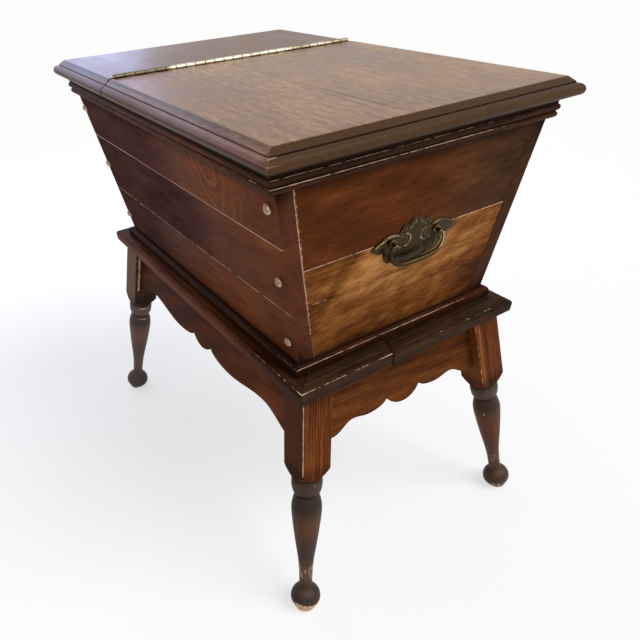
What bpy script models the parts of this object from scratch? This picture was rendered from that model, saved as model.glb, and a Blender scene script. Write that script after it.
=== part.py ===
"""Dough box table.

A slant-sided box with a hinged lid and a brass bail pull, on a stand with scalloped aprons and
four turned legs that splay both ways.

All sizes are in metres. +X runs to the right along the front, +Y to the back and +Z up. The
origin lies on the floor under the middle of the table.
"""
import math

import bmesh
import bpy
from mathutils import Matrix, Vector

# Gap between pieces that touch, and the distance under which points are welded
FIT_GAP = 0.0003
WELD = 0.000002

# Top: a hinged lid in front and a fixed board behind it, with one moulded edge round both
TABLE_HEIGHT = 0.560
TOP_WIDTH = 0.374
TOP_DEPTH = 0.553
TOP_THICKNESS = 0.0185
REAR_TOP_DEPTH = 0.192
LID_SEAM_X = -0.034
EDGE_WIDTH = 0.0137
BEVEL_WIDTH = 0.0062
BEVEL_DROP = 0.0051
NOSE_RADIUS = 0.0052

# Piano hinge, its leaves let into the joint between the lid and the rear board
KNUCKLE_RADIUS = 0.0032
KNUCKLE_PITCH = 0.013
HINGE_RISE = 0.0010
HINGE_PIN_RADIUS = 0.0014
HINGE_BORE_RADIUS = 0.0017
LEAF_THICKNESS = 0.0010
LEAF_HEIGHT = 0.0150

# Box of slanting boards: how far the top overhangs its rim, how far each wall leans out from foot
# to rim, and the seams between boards as shares of the height from foot to rim
OVERHANG_X = 0.016
OVERHANG_Y = 0.02215
SIDE_LEAN = 0.0385
END_LEAN = 0.0311
BOARD_THICKNESS = 0.019
FLOOR_THICKNESS = 0.012
SIDE_SEAM_SHARES = (0.333, 0.665)
END_SEAM_SHARES = (0.352, 0.534)

# Domed pegs through the side boards into the end boards, at a share of each side board's height
PEG_INSET = 0.0115
PEG_HEIGHT_SHARE = 0.485
PEG_SHANK_RADIUS = 0.0024
PEG_HEAD_RADIUS = 0.0055
PEG_HEAD_HEIGHT = 0.0046
PEG_DEPTH = 0.006

# Double-bead moulding under the lid, and the quarter round at the foot of the box
RIM_HEIGHT = 0.0222
RIM_FILLET = 0.0040
RIM_UPPER_BEAD = 0.0037
RIM_LOWER_BEAD = 0.0034
SHOE_HEIGHT = 0.0117
SHOE_WIDTH = 0.0092
SHOE_RADIUS = 0.0064

# Stand: a flat frame of moulded rails that shows some ledge round the box's foot, the front one
# jointed in its length
STAND_HEIGHT = 0.309
LEDGE_X = 0.0225
LEDGE_Y = 0.0355
RAIL_THICKNESS = 0.0210
RAIL_WIDTH = 0.064
RAIL_ARRIS = 0.0042
RAIL_COVE = 0.0078
RAIL_COVE_DROP = 0.0060
FRONT_RAIL_JOINT_X = -0.0346
FRONT_RAIL_JOINT_SKEW = 0.47

# Legs: a square block over a turned bead, vase and pad foot, whose middle stands out past the rails
FOOT_REACH_X = 0.017
FOOT_REACH_Y = 0.01575
LEG_SPLAY = 0.1625
LEG_BLOCK = 0.038
FOOT_RADIUS = 0.0183
FOOT_WIDE_Z = 0.0145
FOOT_HALF_HEIGHT = 0.0161
SOLE_RADIUS = 0.0122
NECK_RADIUS = 0.0080
NECK_Z = 0.042
VASE_RADIUS = 0.0177
VASE_Z = 0.1365
GROOVE_RADIUS = 0.0130
GROOVE_Z = 0.1605
BEAD_RADIUS = 0.0179
BEAD_WIDE_Z = 0.1745
BEAD_TOP_Z = 0.1815
SHOULDER_RADIUS = 0.0162
SHOULDER_TOP_Z = 0.2005

# Aprons with a scalloped lower edge, tenoned into the legs. The long side ones are longer in
# every part of the scallop but its middle lobe
APRON_THICKNESS = 0.019
END_APRON_SETBACK = 0.0134
SIDE_APRON_SETBACK = 0.0092
NOTCH_HALF_WIDTH = 0.0255
NOTCH_Z = 0.2340
BRACKET_Z = 0.2172
END_CENTRE_LOBE_Z = 0.2192
END_LOBE_X = 0.052
END_LOBE_Z = 0.2246
END_ARCH_Z = 0.2284
END_BRACKET_REACH = 0.0417
END_BRACKET_FALL = 0.029
SIDE_CENTRE_LOBE_Z = 0.2230
SIDE_LOBE_Y = 0.073
SIDE_LOBE_Z = 0.2228
SIDE_ARCH_Z = 0.2334
SIDE_BRACKET_REACH = 0.060
SIDE_BRACKET_FALL = 0.066
TENON_THICKNESS = 0.008
TENON_LENGTH = 0.011
TENON_TOP_SHOULDER = 0.008
TENON_FOOT_SHOULDER = 0.012

# Brass pull on the front: a pierced plate, two posts with nuts inside, and a swinging bail
PULL_OFFSET = 0.002
POST_SPACING = 0.060
POST_BELOW_SEAM = 0.0036
POST_SHANK_RADIUS = 0.0019
POST_COLLAR_RADIUS = 0.0052
POST_COLLAR_HEIGHT = 0.0012
POST_NECK_RADIUS = 0.0021
POST_HEAD_RADIUS = 0.0030
POST_STANDOFF = 0.0070
PLATE_THICKNESS = 0.0016
PLATE_WIDTH = 0.1132
PLATE_CREST = 0.0235
PLATE_DROP = 0.0296
PINTLE_RADIUS = 0.0015
PINTLE_CLEARANCE = 0.0003
BAIL_GRIP_RADIUS = 0.0030
BAIL_DROP = 0.0233
NUT_RADIUS = 0.0045
NUT_HEIGHT = 0.0030

# How finely round forms are faceted
LEG_SEGMENTS = 20
PEG_SEGMENTS = 10
KNUCKLE_SEGMENTS = 12
POST_SEGMENTS = 12

# Finishes: base colour, roughness and metallic value
DARK_TOP = ((0.125, 0.066, 0.038), 0.38, 0.0)
DARK_EDGE = ((0.060, 0.028, 0.016), 0.40, 0.0)
RED_BROWN = ((0.135, 0.045, 0.020), 0.36, 0.0)
GOLD_BROWN = ((0.300, 0.150, 0.060), 0.42, 0.0)
STRIPED_BLOCK = ((0.240, 0.105, 0.040), 0.42, 0.0)
PEG_TAN = ((0.360, 0.200, 0.100), 0.50, 0.0)
INSIDE_PINE = ((0.330, 0.190, 0.095), 0.60, 0.0)
BRIGHT_BRASS = ((0.640, 0.480, 0.230), 0.32, 1.0)
OLD_BRASS = ((0.200, 0.160, 0.090), 0.42, 1.0)

# Directions
UP = Vector((0, 0, 1))
FRONT = Vector((0, -1, 0))
BACK = Vector((0, 1, 0))
LEFT = Vector((-1, 0, 0))
RIGHT = Vector((1, 0, 0))
ENDS = ("front", "back")
SIDES = ("left", "right")
NEXT_SIDES = {"front": SIDES, "back": SIDES, "left": ENDS, "right": ENDS}
OUTWARD = {"front": FRONT, "back": BACK, "left": LEFT, "right": RIGHT}

# Heights and slopes that follow from the sizes above
LID_UNDERSIDE = TABLE_HEIGHT - TOP_THICKNESS
RIM_Z = LID_UNDERSIDE - FIT_GAP
BOX_FOOT_Z = STAND_HEIGHT + FIT_GAP
RAIL_UNDERSIDE = STAND_HEIGHT - RAIL_THICKNESS
LEG_TOP_Z = RAIL_UNDERSIDE - FIT_GAP
BOX_HEIGHT = RIM_Z - BOX_FOOT_Z
BOX_RIM_WIDTH = TOP_WIDTH - 2 * OVERHANG_X
BOX_RIM_DEPTH = TOP_DEPTH - 2 * OVERHANG_Y
BOX_FOOT_WIDTH = BOX_RIM_WIDTH - 2 * SIDE_LEAN
BOX_FOOT_DEPTH = BOX_RIM_DEPTH - 2 * END_LEAN
SIDE_SLOPE = SIDE_LEAN / BOX_HEIGHT
END_SLOPE = END_LEAN / BOX_HEIGHT
SIDE_SEAMS = [BOX_FOOT_Z + share * BOX_HEIGHT for share in SIDE_SEAM_SHARES]
END_SEAMS = [BOX_FOOT_Z + share * BOX_HEIGHT for share in END_SEAM_SHARES]
POST_Z = END_SEAMS[1] - POST_BELOW_SEAM
STAND_WIDTH = BOX_FOOT_WIDTH + 2 * LEDGE_X
STAND_DEPTH = BOX_FOOT_DEPTH + 2 * LEDGE_Y
FOOT_SPREAD_X = STAND_WIDTH / 2 + FOOT_REACH_X
FOOT_SPREAD_Y = STAND_DEPTH / 2 + FOOT_REACH_Y
HINGE_Y = TOP_DEPTH / 2 - REAR_TOP_DEPTH
HINGE_Z = TABLE_HEIGHT + HINGE_RISE
HALF_JOINT = LEAF_THICKNESS + 1.5 * FIT_GAP
APRON_TILT_COS = 1 / math.sqrt(1 + LEG_SPLAY ** 2)


def start_scene():
    """Empty the scene and make one collection for the parts and one for the cutters."""
    for thing in list(bpy.data.objects):
        bpy.data.objects.remove(thing)
    parts = bpy.data.collections.new("dough_box_table")
    cutters = bpy.data.collections.new("cutters")
    bpy.context.scene.collection.children.link(parts)
    bpy.context.scene.collection.children.link(cutters)
    return parts, cutters


PARTS, CUTTERS = start_scene()


def give_finish(thing, finish):
    """Give an object its own Principled material of the finish's colour, roughness and metal."""
    colour, roughness, metallic = finish
    material = bpy.data.materials.new(thing.name + "_finish")
    material.use_nodes = True
    shader = material.node_tree.nodes["Principled BSDF"]
    shader.inputs["Base Color"].default_value = (*colour, 1.0)
    shader.inputs["Roughness"].default_value = roughness
    shader.inputs["Metallic"].default_value = metallic
    thing.data.materials.clear()
    thing.data.materials.append(material)


def add_part(name, mesh, finish, placement=Matrix()):
    """Add one sub-part of the table, placed by a matrix."""
    mesh.name = name
    part = bpy.data.objects.new(name, mesh)
    PARTS.objects.link(part)
    part.matrix_world = placement
    give_finish(part, finish)
    return part


def add_cutter(name, mesh, placement=Matrix()):
    """Add a body that only cuts, joins or trims a sub-part."""
    cutter = bpy.data.objects.new(name, mesh)
    CUTTERS.objects.link(cutter)
    cutter.matrix_world = placement
    cutter.hide_render = True
    cutter.display_type = "WIRE"
    return cutter


def add_axis(name, location):
    """Add an empty on a joint's axis, to carry the pieces that swing about it."""
    axis = bpy.data.objects.new(name, None)
    PARTS.objects.link(axis)
    axis.location = location
    return axis


def carry(axis, part):
    """Hang a part that is already in its place on a joint's axis."""
    part.parent = axis
    part.matrix_parent_inverse = Matrix.Translation(-axis.location)


def boolean(part, cutter, operation="DIFFERENCE"):
    """Cut, join or trim a part with another body."""
    modifier = part.modifiers.new(operation.lower() + "_" + cutter.name, "BOOLEAN")
    modifier.operation = operation
    modifier.solver = "EXACT"
    modifier.object = cutter


def box_mesh(low, high):
    """A box between two corners."""
    size = [b - a for a, b in zip(low, high)]
    middle = [(a + b) / 2 for a, b in zip(low, high)]
    form = bmesh.new()
    bmesh.ops.create_cube(form, size=1.0, matrix=Matrix.Translation(middle) @ Matrix.Diagonal((*size, 1)))
    return finished_mesh(form)


def cylinder_mesh(radius, start, end, segments):
    """A cylinder along local Z from start to end."""
    form = bmesh.new()
    middle = Matrix.Translation((0, 0, (start + end) / 2))
    bmesh.ops.create_cone(form, cap_ends=True, segments=segments, radius1=radius, radius2=radius,
                          depth=end - start, matrix=middle)
    return finished_mesh(form)


def finished_mesh(form):
    """Turn a bmesh into a mesh and free it."""
    mesh = bpy.data.meshes.new("form")
    form.to_mesh(mesh)
    form.free()
    return mesh


def mesh_from_curve(curve):
    """The closed mesh of a curve, its caps welded on."""
    thing = bpy.data.objects.new("curve", curve)
    CUTTERS.objects.link(thing)
    depsgraph = bpy.context.evaluated_depsgraph_get()
    mesh = bpy.data.meshes.new_from_object(thing.evaluated_get(depsgraph))
    bpy.data.objects.remove(thing)
    form = bmesh.new()
    form.from_mesh(mesh)
    bmesh.ops.remove_doubles(form, verts=form.verts, dist=WELD)
    bmesh.ops.recalc_face_normals(form, faces=form.faces)
    return finished_mesh(form)


def outline_mesh(outline, thickness):
    """A flat closed outline in local XY, given a thickness along local Z about its plane."""
    curve = bpy.data.curves.new("outline", "CURVE")
    curve.dimensions = "2D"
    curve.fill_mode = "BOTH"
    curve.extrude = thickness / 2
    spline = curve.splines.new("POLY")
    spline.points.add(len(outline) - 1)
    for point, (x, y) in zip(spline.points, outline):
        point.co = (x, y, 0, 1)
    spline.use_cyclic_u = True
    return mesh_from_curve(curve)


def turned_body(name, profile, segments, placement, finish=None):
    """Turn a profile of (radius, height) about local Z, top to bottom. With a finish it is a part."""
    form = bmesh.new()
    points = [form.verts.new((radius, 0, height)) for radius, height in profile]
    for upper, lower in zip(points, points[1:]):
        form.edges.new((upper, lower))
    mesh = finished_mesh(form)
    if finish:
        body = add_part(name, mesh, finish, placement)
    else:
        body = add_cutter(name, mesh, placement)
    screw = body.modifiers.new("turning", "SCREW")
    screw.axis = "Z"
    screw.steps = segments
    screw.render_steps = segments
    screw.use_merge_vertices = True
    screw.merge_threshold = WELD
    screw.use_smooth_shade = True
    return body


def saw(part, point, waste_side):
    """Saw a part along a plane in world space and close the cut. The waste side falls away."""
    to_local = part.matrix_world.inverted()
    local_point = to_local @ Vector(point)
    local_normal = (to_local.to_3x3() @ Vector(waste_side)).normalized()
    form = bmesh.new()
    form.from_mesh(part.data)
    everything = form.verts[:] + form.edges[:] + form.faces[:]
    cut = bmesh.ops.bisect_plane(form, geom=everything, dist=WELD / 10, plane_co=local_point,
                                 plane_no=local_normal, clear_outer=True)
    edges = [piece for piece in cut["geom_cut"] if isinstance(piece, bmesh.types.BMEdge)]
    bmesh.ops.contextual_create(form, geom=edges)
    bmesh.ops.recalc_face_normals(form, faces=form.faces)
    form.to_mesh(part.data)
    form.free()


def smooth_curve(points, steps):
    """Points on a Catmull-Rom curve through the given points, some steps from each to the next."""
    knots = [Vector(point) for point in points]
    knots = [2 * knots[0] - knots[1], *knots, 2 * knots[-1] - knots[-2]]
    curve = []
    for before, start, end, after in zip(knots, knots[1:], knots[2:], knots[3:]):
        for step in range(steps):
            t = step / steps
            curve.append(start + (end - before) * t / 2
                         + (before * 2 - start * 5 + end * 4 - after) * t ** 2 / 2
                         + (start * 3 - before - end * 3 + after) * t ** 3 / 2)
    curve.append(knots[-2])
    return curve


def arc(centre, radius, start_degrees, end_degrees, steps):
    """Points on a circular arc, both ends included."""
    angles = [math.radians(start_degrees + (end_degrees - start_degrees) * step / steps)
              for step in range(steps + 1)]
    return [(centre[0] + radius * math.cos(angle), centre[1] + radius * math.sin(angle))
            for angle in angles]


def edge_frame(outward):
    """A frame whose local X points outward, local Y up and local Z along the edge."""
    return Matrix((outward, UP, outward.cross(UP))).transposed().to_4x4()


# Where the walls of the box stand

def wall_distance(side, z):
    """How far the outer face of a wall stands from the middle of the table at a height."""
    if side in ENDS:
        return BOX_FOOT_DEPTH / 2 + END_SLOPE * (z - BOX_FOOT_Z)
    return BOX_FOOT_WIDTH / 2 + SIDE_SLOPE * (z - BOX_FOOT_Z)


def wall_slope(side):
    """How far a wall leans out for each metre of height."""
    return END_SLOPE if side in ENDS else SIDE_SLOPE


def wall_normal(side):
    """The outward normal of a wall, which faces a little down because the wall leans out."""
    return (OUTWARD[side] - wall_slope(side) * UP).normalized()


def wall_point(side, z, inset=0.0):
    """A point in the middle of a wall at a height, some distance in from its outer face."""
    return OUTWARD[side] * wall_distance(side, z) + UP * z - wall_normal(side) * inset


def wall_frame(side, z):
    """A frame on a wall's outer face: X along the wall, Y up the slope, Z out of the wall."""
    normal = wall_normal(side)
    along = UP.cross(normal).normalized()
    frame = Matrix((along, normal.cross(along), normal)).transposed().to_4x4()
    frame.translation = wall_point(side, z)
    return frame


def slope_length(side, rise):
    """The length up a wall's face for a rise in height."""
    return rise * math.sqrt(1 + wall_slope(side) ** 2)


def meets_board(side, low, high, points, radius):
    """Whether a round bar through some points reaches the board between two heights of a wall."""
    to_wall = wall_frame(side, BOX_FOOT_Z).inverted()
    levels = [(to_wall @ point).y for point in points]
    return (slope_length(side, low - BOX_FOOT_Z) < max(levels) + radius
            and min(levels) - radius < slope_length(side, high - BOX_FOOT_Z))


def mitre(part, side, corner, lean):
    """Saw both ends of a piece at the mitres with its neighbours.

    The corner gives the distances of the mitre line from the middle, by side, at height zero,
    and the lean how far that line runs out for each metre of height.
    """
    own = OUTWARD[side]
    for neighbour in NEXT_SIDES[side]:
        other = OUTWARD[neighbour]
        on_line = own * corner[side] + other * corner[neighbour]
        direction = own * lean[side] + other * lean[neighbour] + UP
        normal = direction.cross(own + other).normalized()
        if normal.dot(other) < 0:
            normal = -normal
        saw(part, on_line - normal * FIT_GAP / 2, normal)


BOX_CORNER = {side: wall_distance(side, 0.0) for side in OUTWARD}
BOX_LEAN = {side: wall_slope(side) for side in OUTWARD}
STAND_CORNER = {"front": STAND_DEPTH / 2, "back": STAND_DEPTH / 2,
                "left": STAND_WIDTH / 2, "right": STAND_WIDTH / 2}
UPRIGHT = {side: 0.0 for side in OUTWARD}


# Stand rails

def rail_profile(nose):
    """Section of a rail: flat top, rounded upper arris, a near-upright nose and a cove below."""
    nose_foot = RAIL_UNDERSIDE + RAIL_COVE_DROP
    rounding = arc((nose - RAIL_ARRIS, STAND_HEIGHT - RAIL_ARRIS), RAIL_ARRIS, 90, 0, 4)
    cove = [(nose - RAIL_COVE * math.sin(math.radians(angle)),
             nose_foot - RAIL_COVE_DROP * (1 - math.cos(math.radians(angle)))) for angle in (20, 45, 70, 90)]
    inner = nose - RAIL_WIDTH
    return [(inner, STAND_HEIGHT), *rounding, (nose - RAIL_ARRIS / 4, nose_foot), *cove,
            (inner, RAIL_UNDERSIDE)]


def build_rails():
    """Four mitred rails, the front one in two lengths that butt together at a slant."""
    run = 2 * max(STAND_WIDTH, STAND_DEPTH)
    joint = RIGHT * FRONT_RAIL_JOINT_X + FRONT * STAND_DEPTH / 2
    across_joint = (RIGHT - BACK * FRONT_RAIL_JOINT_SKEW).normalized()
    for side, outward in OUTWARD.items():
        lengths = {"": None}
        if side == "front":
            lengths = {"_left": across_joint, "_right": -across_joint}
        for suffix, waste_side in lengths.items():
            blank = outline_mesh(rail_profile(STAND_CORNER[side]), run)
            rail = add_part("stand_rail_" + side + suffix, blank, DARK_EDGE, edge_frame(outward))
            mitre(rail, side, STAND_CORNER, UPRIGHT)
            if waste_side:
                saw(rail, joint - waste_side * FIT_GAP / 2, waste_side)


# Legs

def leg_frame(end, side):
    """A frame with its origin under a foot's middle and local Z up the splayed leg."""
    axis = (UP - (OUTWARD[end] + OUTWARD[side]) * LEG_SPLAY).normalized()
    frame = UP.rotation_difference(axis).to_matrix().to_4x4()
    frame.translation = OUTWARD[side] * FOOT_SPREAD_X + OUTWARD[end] * FOOT_SPREAD_Y
    return frame


def leg_profile():
    """Turned profile of a leg as (radius, height on its axis), from the block down to the sole.

    The shoulder only takes the corners off the block. The bead is widest near its top and rounds
    down to a groove, over a vase that tapers to a thin neck. The foot is a flattened ball.
    """
    stretch = math.sqrt(1 + 2 * LEG_SPLAY ** 2)
    past_corner = 1.1 * LEG_BLOCK / math.sqrt(2)
    above_block = LEG_TOP_Z + LEG_BLOCK
    below_floor = -FOOT_RADIUS / 2
    shoulder = smooth_curve([(past_corner, SHOULDER_TOP_Z),
                             (SHOULDER_RADIUS + (past_corner - SHOULDER_RADIUS) * 0.68,
                              SHOULDER_TOP_Z - (SHOULDER_TOP_Z - BEAD_TOP_Z) * 0.40),
                             (SHOULDER_RADIUS, BEAD_TOP_Z)], 2)
    bead = [((SHOULDER_RADIUS + BEAD_RADIUS * 3) / 4, (BEAD_TOP_Z * 3 + BEAD_WIDE_Z) / 4)]
    bead += [(GROOVE_RADIUS + (BEAD_RADIUS - GROOVE_RADIUS) * math.cos(math.radians(angle)),
              BEAD_WIDE_Z - (BEAD_WIDE_Z - GROOVE_Z) * math.sin(math.radians(angle)))
             for angle in (0, 28, 54, 76)]
    rise = VASE_Z - NECK_Z
    vase = smooth_curve([(GROOVE_RADIUS, GROOVE_Z), (VASE_RADIUS * 0.93, VASE_Z + (GROOVE_Z - VASE_Z) * 0.6),
                         (VASE_RADIUS, VASE_Z), (VASE_RADIUS * 0.80, VASE_Z - rise * 0.36),
                         (NECK_RADIUS * 1.17, VASE_Z - rise * 0.74), (NECK_RADIUS, NECK_Z)], 2)
    foot = [(FOOT_RADIUS * math.cos(math.radians(angle)),
             FOOT_WIDE_Z + FOOT_HALF_HEIGHT * math.sin(math.radians(angle)))
            for angle in (62, 46, 30, 14, -4, -22, -38)]
    foot += [(SOLE_RADIUS, 0.0), (SOLE_RADIUS * 0.6, below_floor)]
    block = [(0.0, above_block), (past_corner, above_block)]
    profile = [*block, *shoulder, *bead, *vase, *foot, (0.0, below_floor)]
    return [(radius, height * stretch) for radius, height in profile]


def build_legs():
    """Four legs: a square blank cut level at both ends, then turned below its block."""
    half = LEG_BLOCK / 2
    legs = {}
    for end in ENDS:
        for side in SIDES:
            name = "leg_" + end + "_" + side
            frame = leg_frame(end, side)
            blank = box_mesh((-half, -half, -LEG_BLOCK), (half, half, LEG_TOP_Z + 2 * LEG_BLOCK))
            leg = add_part(name, blank, STRIPED_BLOCK, frame)
            saw(leg, UP * LEG_TOP_Z, UP)
            saw(leg, (0, 0, 0), -UP)
            lathe = turned_body(name + "_turning", leg_profile(), LEG_SEGMENTS, frame)
            boolean(leg, lathe, "INTERSECT")
            legs[frozenset((end, side))] = leg
    return legs


# Aprons

def apron_outline(half_length, scallop):
    """Outline of an apron as (distance along, height): a level top and a scalloped lower edge.

    From the middle out, the edge is a round lobe, a notch, an elliptical side lobe, a shallow
    arch and a bracket that drops beside the leg.
    """
    centre_z, lobe, lobe_z, arch_reach, arch_z, fall = scallop
    lobe_rise = NOTCH_Z - centre_z
    lobe_radius = (NOTCH_HALF_WIDTH ** 2 + lobe_rise ** 2) / (2 * lobe_rise)
    swing = math.degrees(math.asin(NOTCH_HALF_WIDTH / lobe_radius))
    half = arc((0, centre_z + lobe_radius), lobe_radius, -90, -90 + swing, 5)
    for angle in (20, 40, 65, 90):
        across = (lobe - NOTCH_HALF_WIDTH) * (1 - math.cos(math.radians(angle)))
        down = (NOTCH_Z - lobe_z) * math.sin(math.radians(angle))
        half.append((NOTCH_HALF_WIDTH + across, NOTCH_Z - down))
    arch = half_length - arch_reach
    bracket = arch + fall
    for start, end in (((lobe, lobe_z), (arch, arch_z)), ((arch, arch_z), (bracket, BRACKET_Z))):
        for step in range(1, 6):
            ease = (1 - math.cos(math.pi * step / 5)) / 2
            half.append((start[0] + (end[0] - start[0]) * step / 5, start[1] + (end[1] - start[1]) * ease))
    half.append((half_length + LEG_BLOCK, BRACKET_Z))
    half.append((half_length + LEG_BLOCK, LEG_TOP_Z))
    return half + [(-x, z) for x, z in reversed(half) if x > 0]


def apron_frame(side, spread, setback):
    """A frame on an apron's outer face at the leg tops: X along, Y up the tilted face, Z outward."""
    normal = (OUTWARD[side] + LEG_SPLAY * UP).normalized()
    along = UP.cross(normal).normalized()
    frame = Matrix((along, normal.cross(along), normal)).transposed().to_4x4()
    distance = spread - LEG_SPLAY * LEG_TOP_Z + LEG_BLOCK / 2 - setback
    frame.translation = OUTWARD[side] * distance + UP * LEG_TOP_Z
    return frame


def tenon_mesh(half_length, grow):
    """A flat bar inside an apron that ends in its tenons, or with some growth the mortise for it."""
    top = -TENON_TOP_SHOULDER / APRON_TILT_COS
    foot = (BRACKET_Z + TENON_FOOT_SHOULDER - LEG_TOP_Z) / APRON_TILT_COS
    middle = -APRON_THICKNESS / 2
    half = TENON_THICKNESS / 2 + grow
    return box_mesh((-half_length - LEG_BLOCK, foot - grow, middle - half),
                    (half_length + LEG_BLOCK, top + grow, middle + half))


def saw_to_legs(part, leg_pair, depth):
    """Saw both ends of a part parallel to the legs' inner faces, some depth inside those faces."""
    for leg, toward in leg_pair:
        frame = leg.matrix_world
        inward = -(frame.to_3x3() @ toward)
        face = frame.translation + inward * LEG_BLOCK / 2
        saw(part, face - inward * depth, -inward)


def build_aprons(legs):
    """Four aprons with tenoned ends, and the mortises for them in the legs."""
    end_scallop = (END_CENTRE_LOBE_Z, END_LOBE_X, END_LOBE_Z, END_BRACKET_REACH, END_ARCH_Z, END_BRACKET_FALL)
    side_scallop = (SIDE_CENTRE_LOBE_Z, SIDE_LOBE_Y, SIDE_LOBE_Z, SIDE_BRACKET_REACH, SIDE_ARCH_Z,
                    SIDE_BRACKET_FALL)
    for side in OUTWARD:
        spread, run, setback, scallop = FOOT_SPREAD_X, FOOT_SPREAD_Y, SIDE_APRON_SETBACK, side_scallop
        if side in ENDS:
            spread, run, setback, scallop = FOOT_SPREAD_Y, FOOT_SPREAD_X, END_APRON_SETBACK, end_scallop
        pair = [(legs[frozenset((side, neighbour))], OUTWARD[neighbour]) for neighbour in NEXT_SIDES[side]]
        half_length = run - LEG_SPLAY * BRACKET_Z - LEG_BLOCK / 2
        outline = [(x, (z - LEG_TOP_Z) / APRON_TILT_COS) for x, z in apron_outline(half_length, scallop)]
        frame = apron_frame(side, spread, setback)
        board = frame @ Matrix.Translation((0, 0, -APRON_THICKNESS / 2))
        finish = GOLD_BROWN if side == "front" else RED_BROWN
        apron = add_part("apron_" + side, outline_mesh(outline, APRON_THICKNESS), finish, board)
        saw(apron, UP * LEG_TOP_Z, UP)
        saw_to_legs(apron, pair, -FIT_GAP)
        tenon = add_cutter("apron_" + side + "_tenon", tenon_mesh(half_length, 0.0), frame)
        saw_to_legs(tenon, pair, TENON_LENGTH)
        boolean(apron, tenon, "UNION")
        mortise = add_cutter("apron_" + side + "_mortise", tenon_mesh(half_length, FIT_GAP), frame)
        saw_to_legs(mortise, pair, TENON_LENGTH + FIT_GAP)
        for leg, toward in pair:
            boolean(leg, mortise)


# Box of boards

def build_wall(side, seams, finishes):
    """The boards of one wall, edge to edge up the slope. Side walls run past the end walls."""
    inset = BOARD_THICKNESS + FIT_GAP if side in ENDS else 0.0
    frame = wall_frame(side, BOX_FOOT_Z)
    half_run = max(BOX_RIM_WIDTH, BOX_RIM_DEPTH)
    levels = [BOX_FOOT_Z - BOARD_THICKNESS, *seams, RIM_Z + BOARD_THICKNESS]
    boards = []
    for name, finish, low, high in zip(("lower", "middle", "upper"), finishes, levels, levels[1:]):
        foot = slope_length(side, low - BOX_FOOT_Z) + FIT_GAP / 2
        head = slope_length(side, high - BOX_FOOT_Z) - FIT_GAP / 2
        blank = box_mesh((-half_run, foot, -BOARD_THICKNESS), (half_run, head, 0))
        board = add_part(side + "_board_" + name, blank, finish, frame)
        for neighbour in NEXT_SIDES[side]:
            saw(board, wall_point(neighbour, BOX_FOOT_Z, inset), wall_normal(neighbour))
        if low < BOX_FOOT_Z:
            saw(board, UP * BOX_FOOT_Z, -UP)
        if high > RIM_Z:
            saw(board, UP * RIM_Z, UP)
        boards.append((board, max(low, BOX_FOOT_Z), min(high, RIM_Z)))
    return boards


def build_floor():
    """The bottom board, its edges bevelled to lie against the leaning walls."""
    reach = max(BOX_RIM_WIDTH, BOX_RIM_DEPTH)
    blank = box_mesh((-reach, -reach, BOX_FOOT_Z), (reach, reach, BOX_FOOT_Z + FLOOR_THICKNESS))
    floor = add_part("box_floor", blank, INSIDE_PINE)
    for side in OUTWARD:
        saw(floor, wall_point(side, BOX_FOOT_Z, BOARD_THICKNESS + FIT_GAP), wall_normal(side))


def peg_profile():
    """Profile of a peg as (radius, height) from the crown of its dome to the end of its shank."""
    crown = [(PEG_HEAD_RADIUS * math.sin(math.radians(angle)),
              FIT_GAP + PEG_HEAD_HEIGHT * math.cos(math.radians(angle))) for angle in (0, 28, 54, 76, 90)]
    tip = -(BOARD_THICKNESS + PEG_DEPTH)
    return [*crown, (PEG_SHANK_RADIUS, FIT_GAP), (PEG_SHANK_RADIUS, tip), (0.0, tip)]


def build_pegs(walls):
    """A peg near the middle height of each side board at both ends, and the bores for them."""
    bore = cylinder_mesh(PEG_SHANK_RADIUS + FIT_GAP, -(BOARD_THICKNESS + PEG_DEPTH + FIT_GAP),
                         BOARD_THICKNESS, PEG_SEGMENTS)
    for side in SIDES:
        for end in ENDS:
            for board, low, high in walls[side]:
                height = low + (high - low) * PEG_HEIGHT_SHARE
                across = OUTWARD[end] * (wall_distance(end, height) - PEG_INSET)
                frame = wall_frame(side, height)
                frame.translation = frame.translation + across
                level = board.name.rsplit("_", 1)[1]
                name = "peg_" + side + "_" + end + "_" + level
                turned_body(name, peg_profile(), PEG_SEGMENTS, frame, PEG_TAN)
                cutter = add_cutter(name + "_bore", bore, frame)
                boolean(board, cutter)
                shank = [frame @ Vector((0, 0, -BOARD_THICKNESS - depth)) for depth in (0, PEG_DEPTH)]
                for end_board, end_low, end_high in walls[end]:
                    if meets_board(end, end_low, end_high, shank, PEG_SHANK_RADIUS):
                        boolean(end_board, cutter)


# Mouldings round the box

def rim_profile(side):
    """Section of the rim moulding: a fillet under the lid, then a larger and a smaller bead."""
    foot = RIM_Z - RIM_HEIGHT

    def out(z, proud):
        return wall_distance(side, z) + FIT_GAP + proud

    lower_z = foot + RIM_LOWER_BEAD
    upper_z = lower_z + RIM_LOWER_BEAD + RIM_UPPER_BEAD
    lower = arc((out(lower_z, RIM_UPPER_BEAD - RIM_LOWER_BEAD / 4), lower_z), RIM_LOWER_BEAD, -88, 62, 5)
    upper = arc((out(upper_z, RIM_UPPER_BEAD - RIM_LOWER_BEAD / 4), upper_z), RIM_UPPER_BEAD, -62, 80, 5)
    top = upper[-1][1]
    return [(out(RIM_Z, 0), RIM_Z), (out(foot, 0), foot), *lower, *upper,
            (out(top, RIM_FILLET), top), (out(RIM_Z, RIM_FILLET), RIM_Z)]


def shoe_profile(side):
    """Section of the shoe moulding: a quarter round over a small upright face."""
    head = BOX_FOOT_Z + SHOE_HEIGHT
    outer = wall_distance(side, BOX_FOOT_Z) + SHOE_WIDTH
    rounding = arc((outer - SHOE_RADIUS, head - SHOE_RADIUS), SHOE_RADIUS, 0, 90, 5)
    return [(wall_distance(side, head) + FIT_GAP, head),
            (wall_distance(side, BOX_FOOT_Z) + FIT_GAP, BOX_FOOT_Z), (outer, BOX_FOOT_Z), *rounding]


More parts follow.
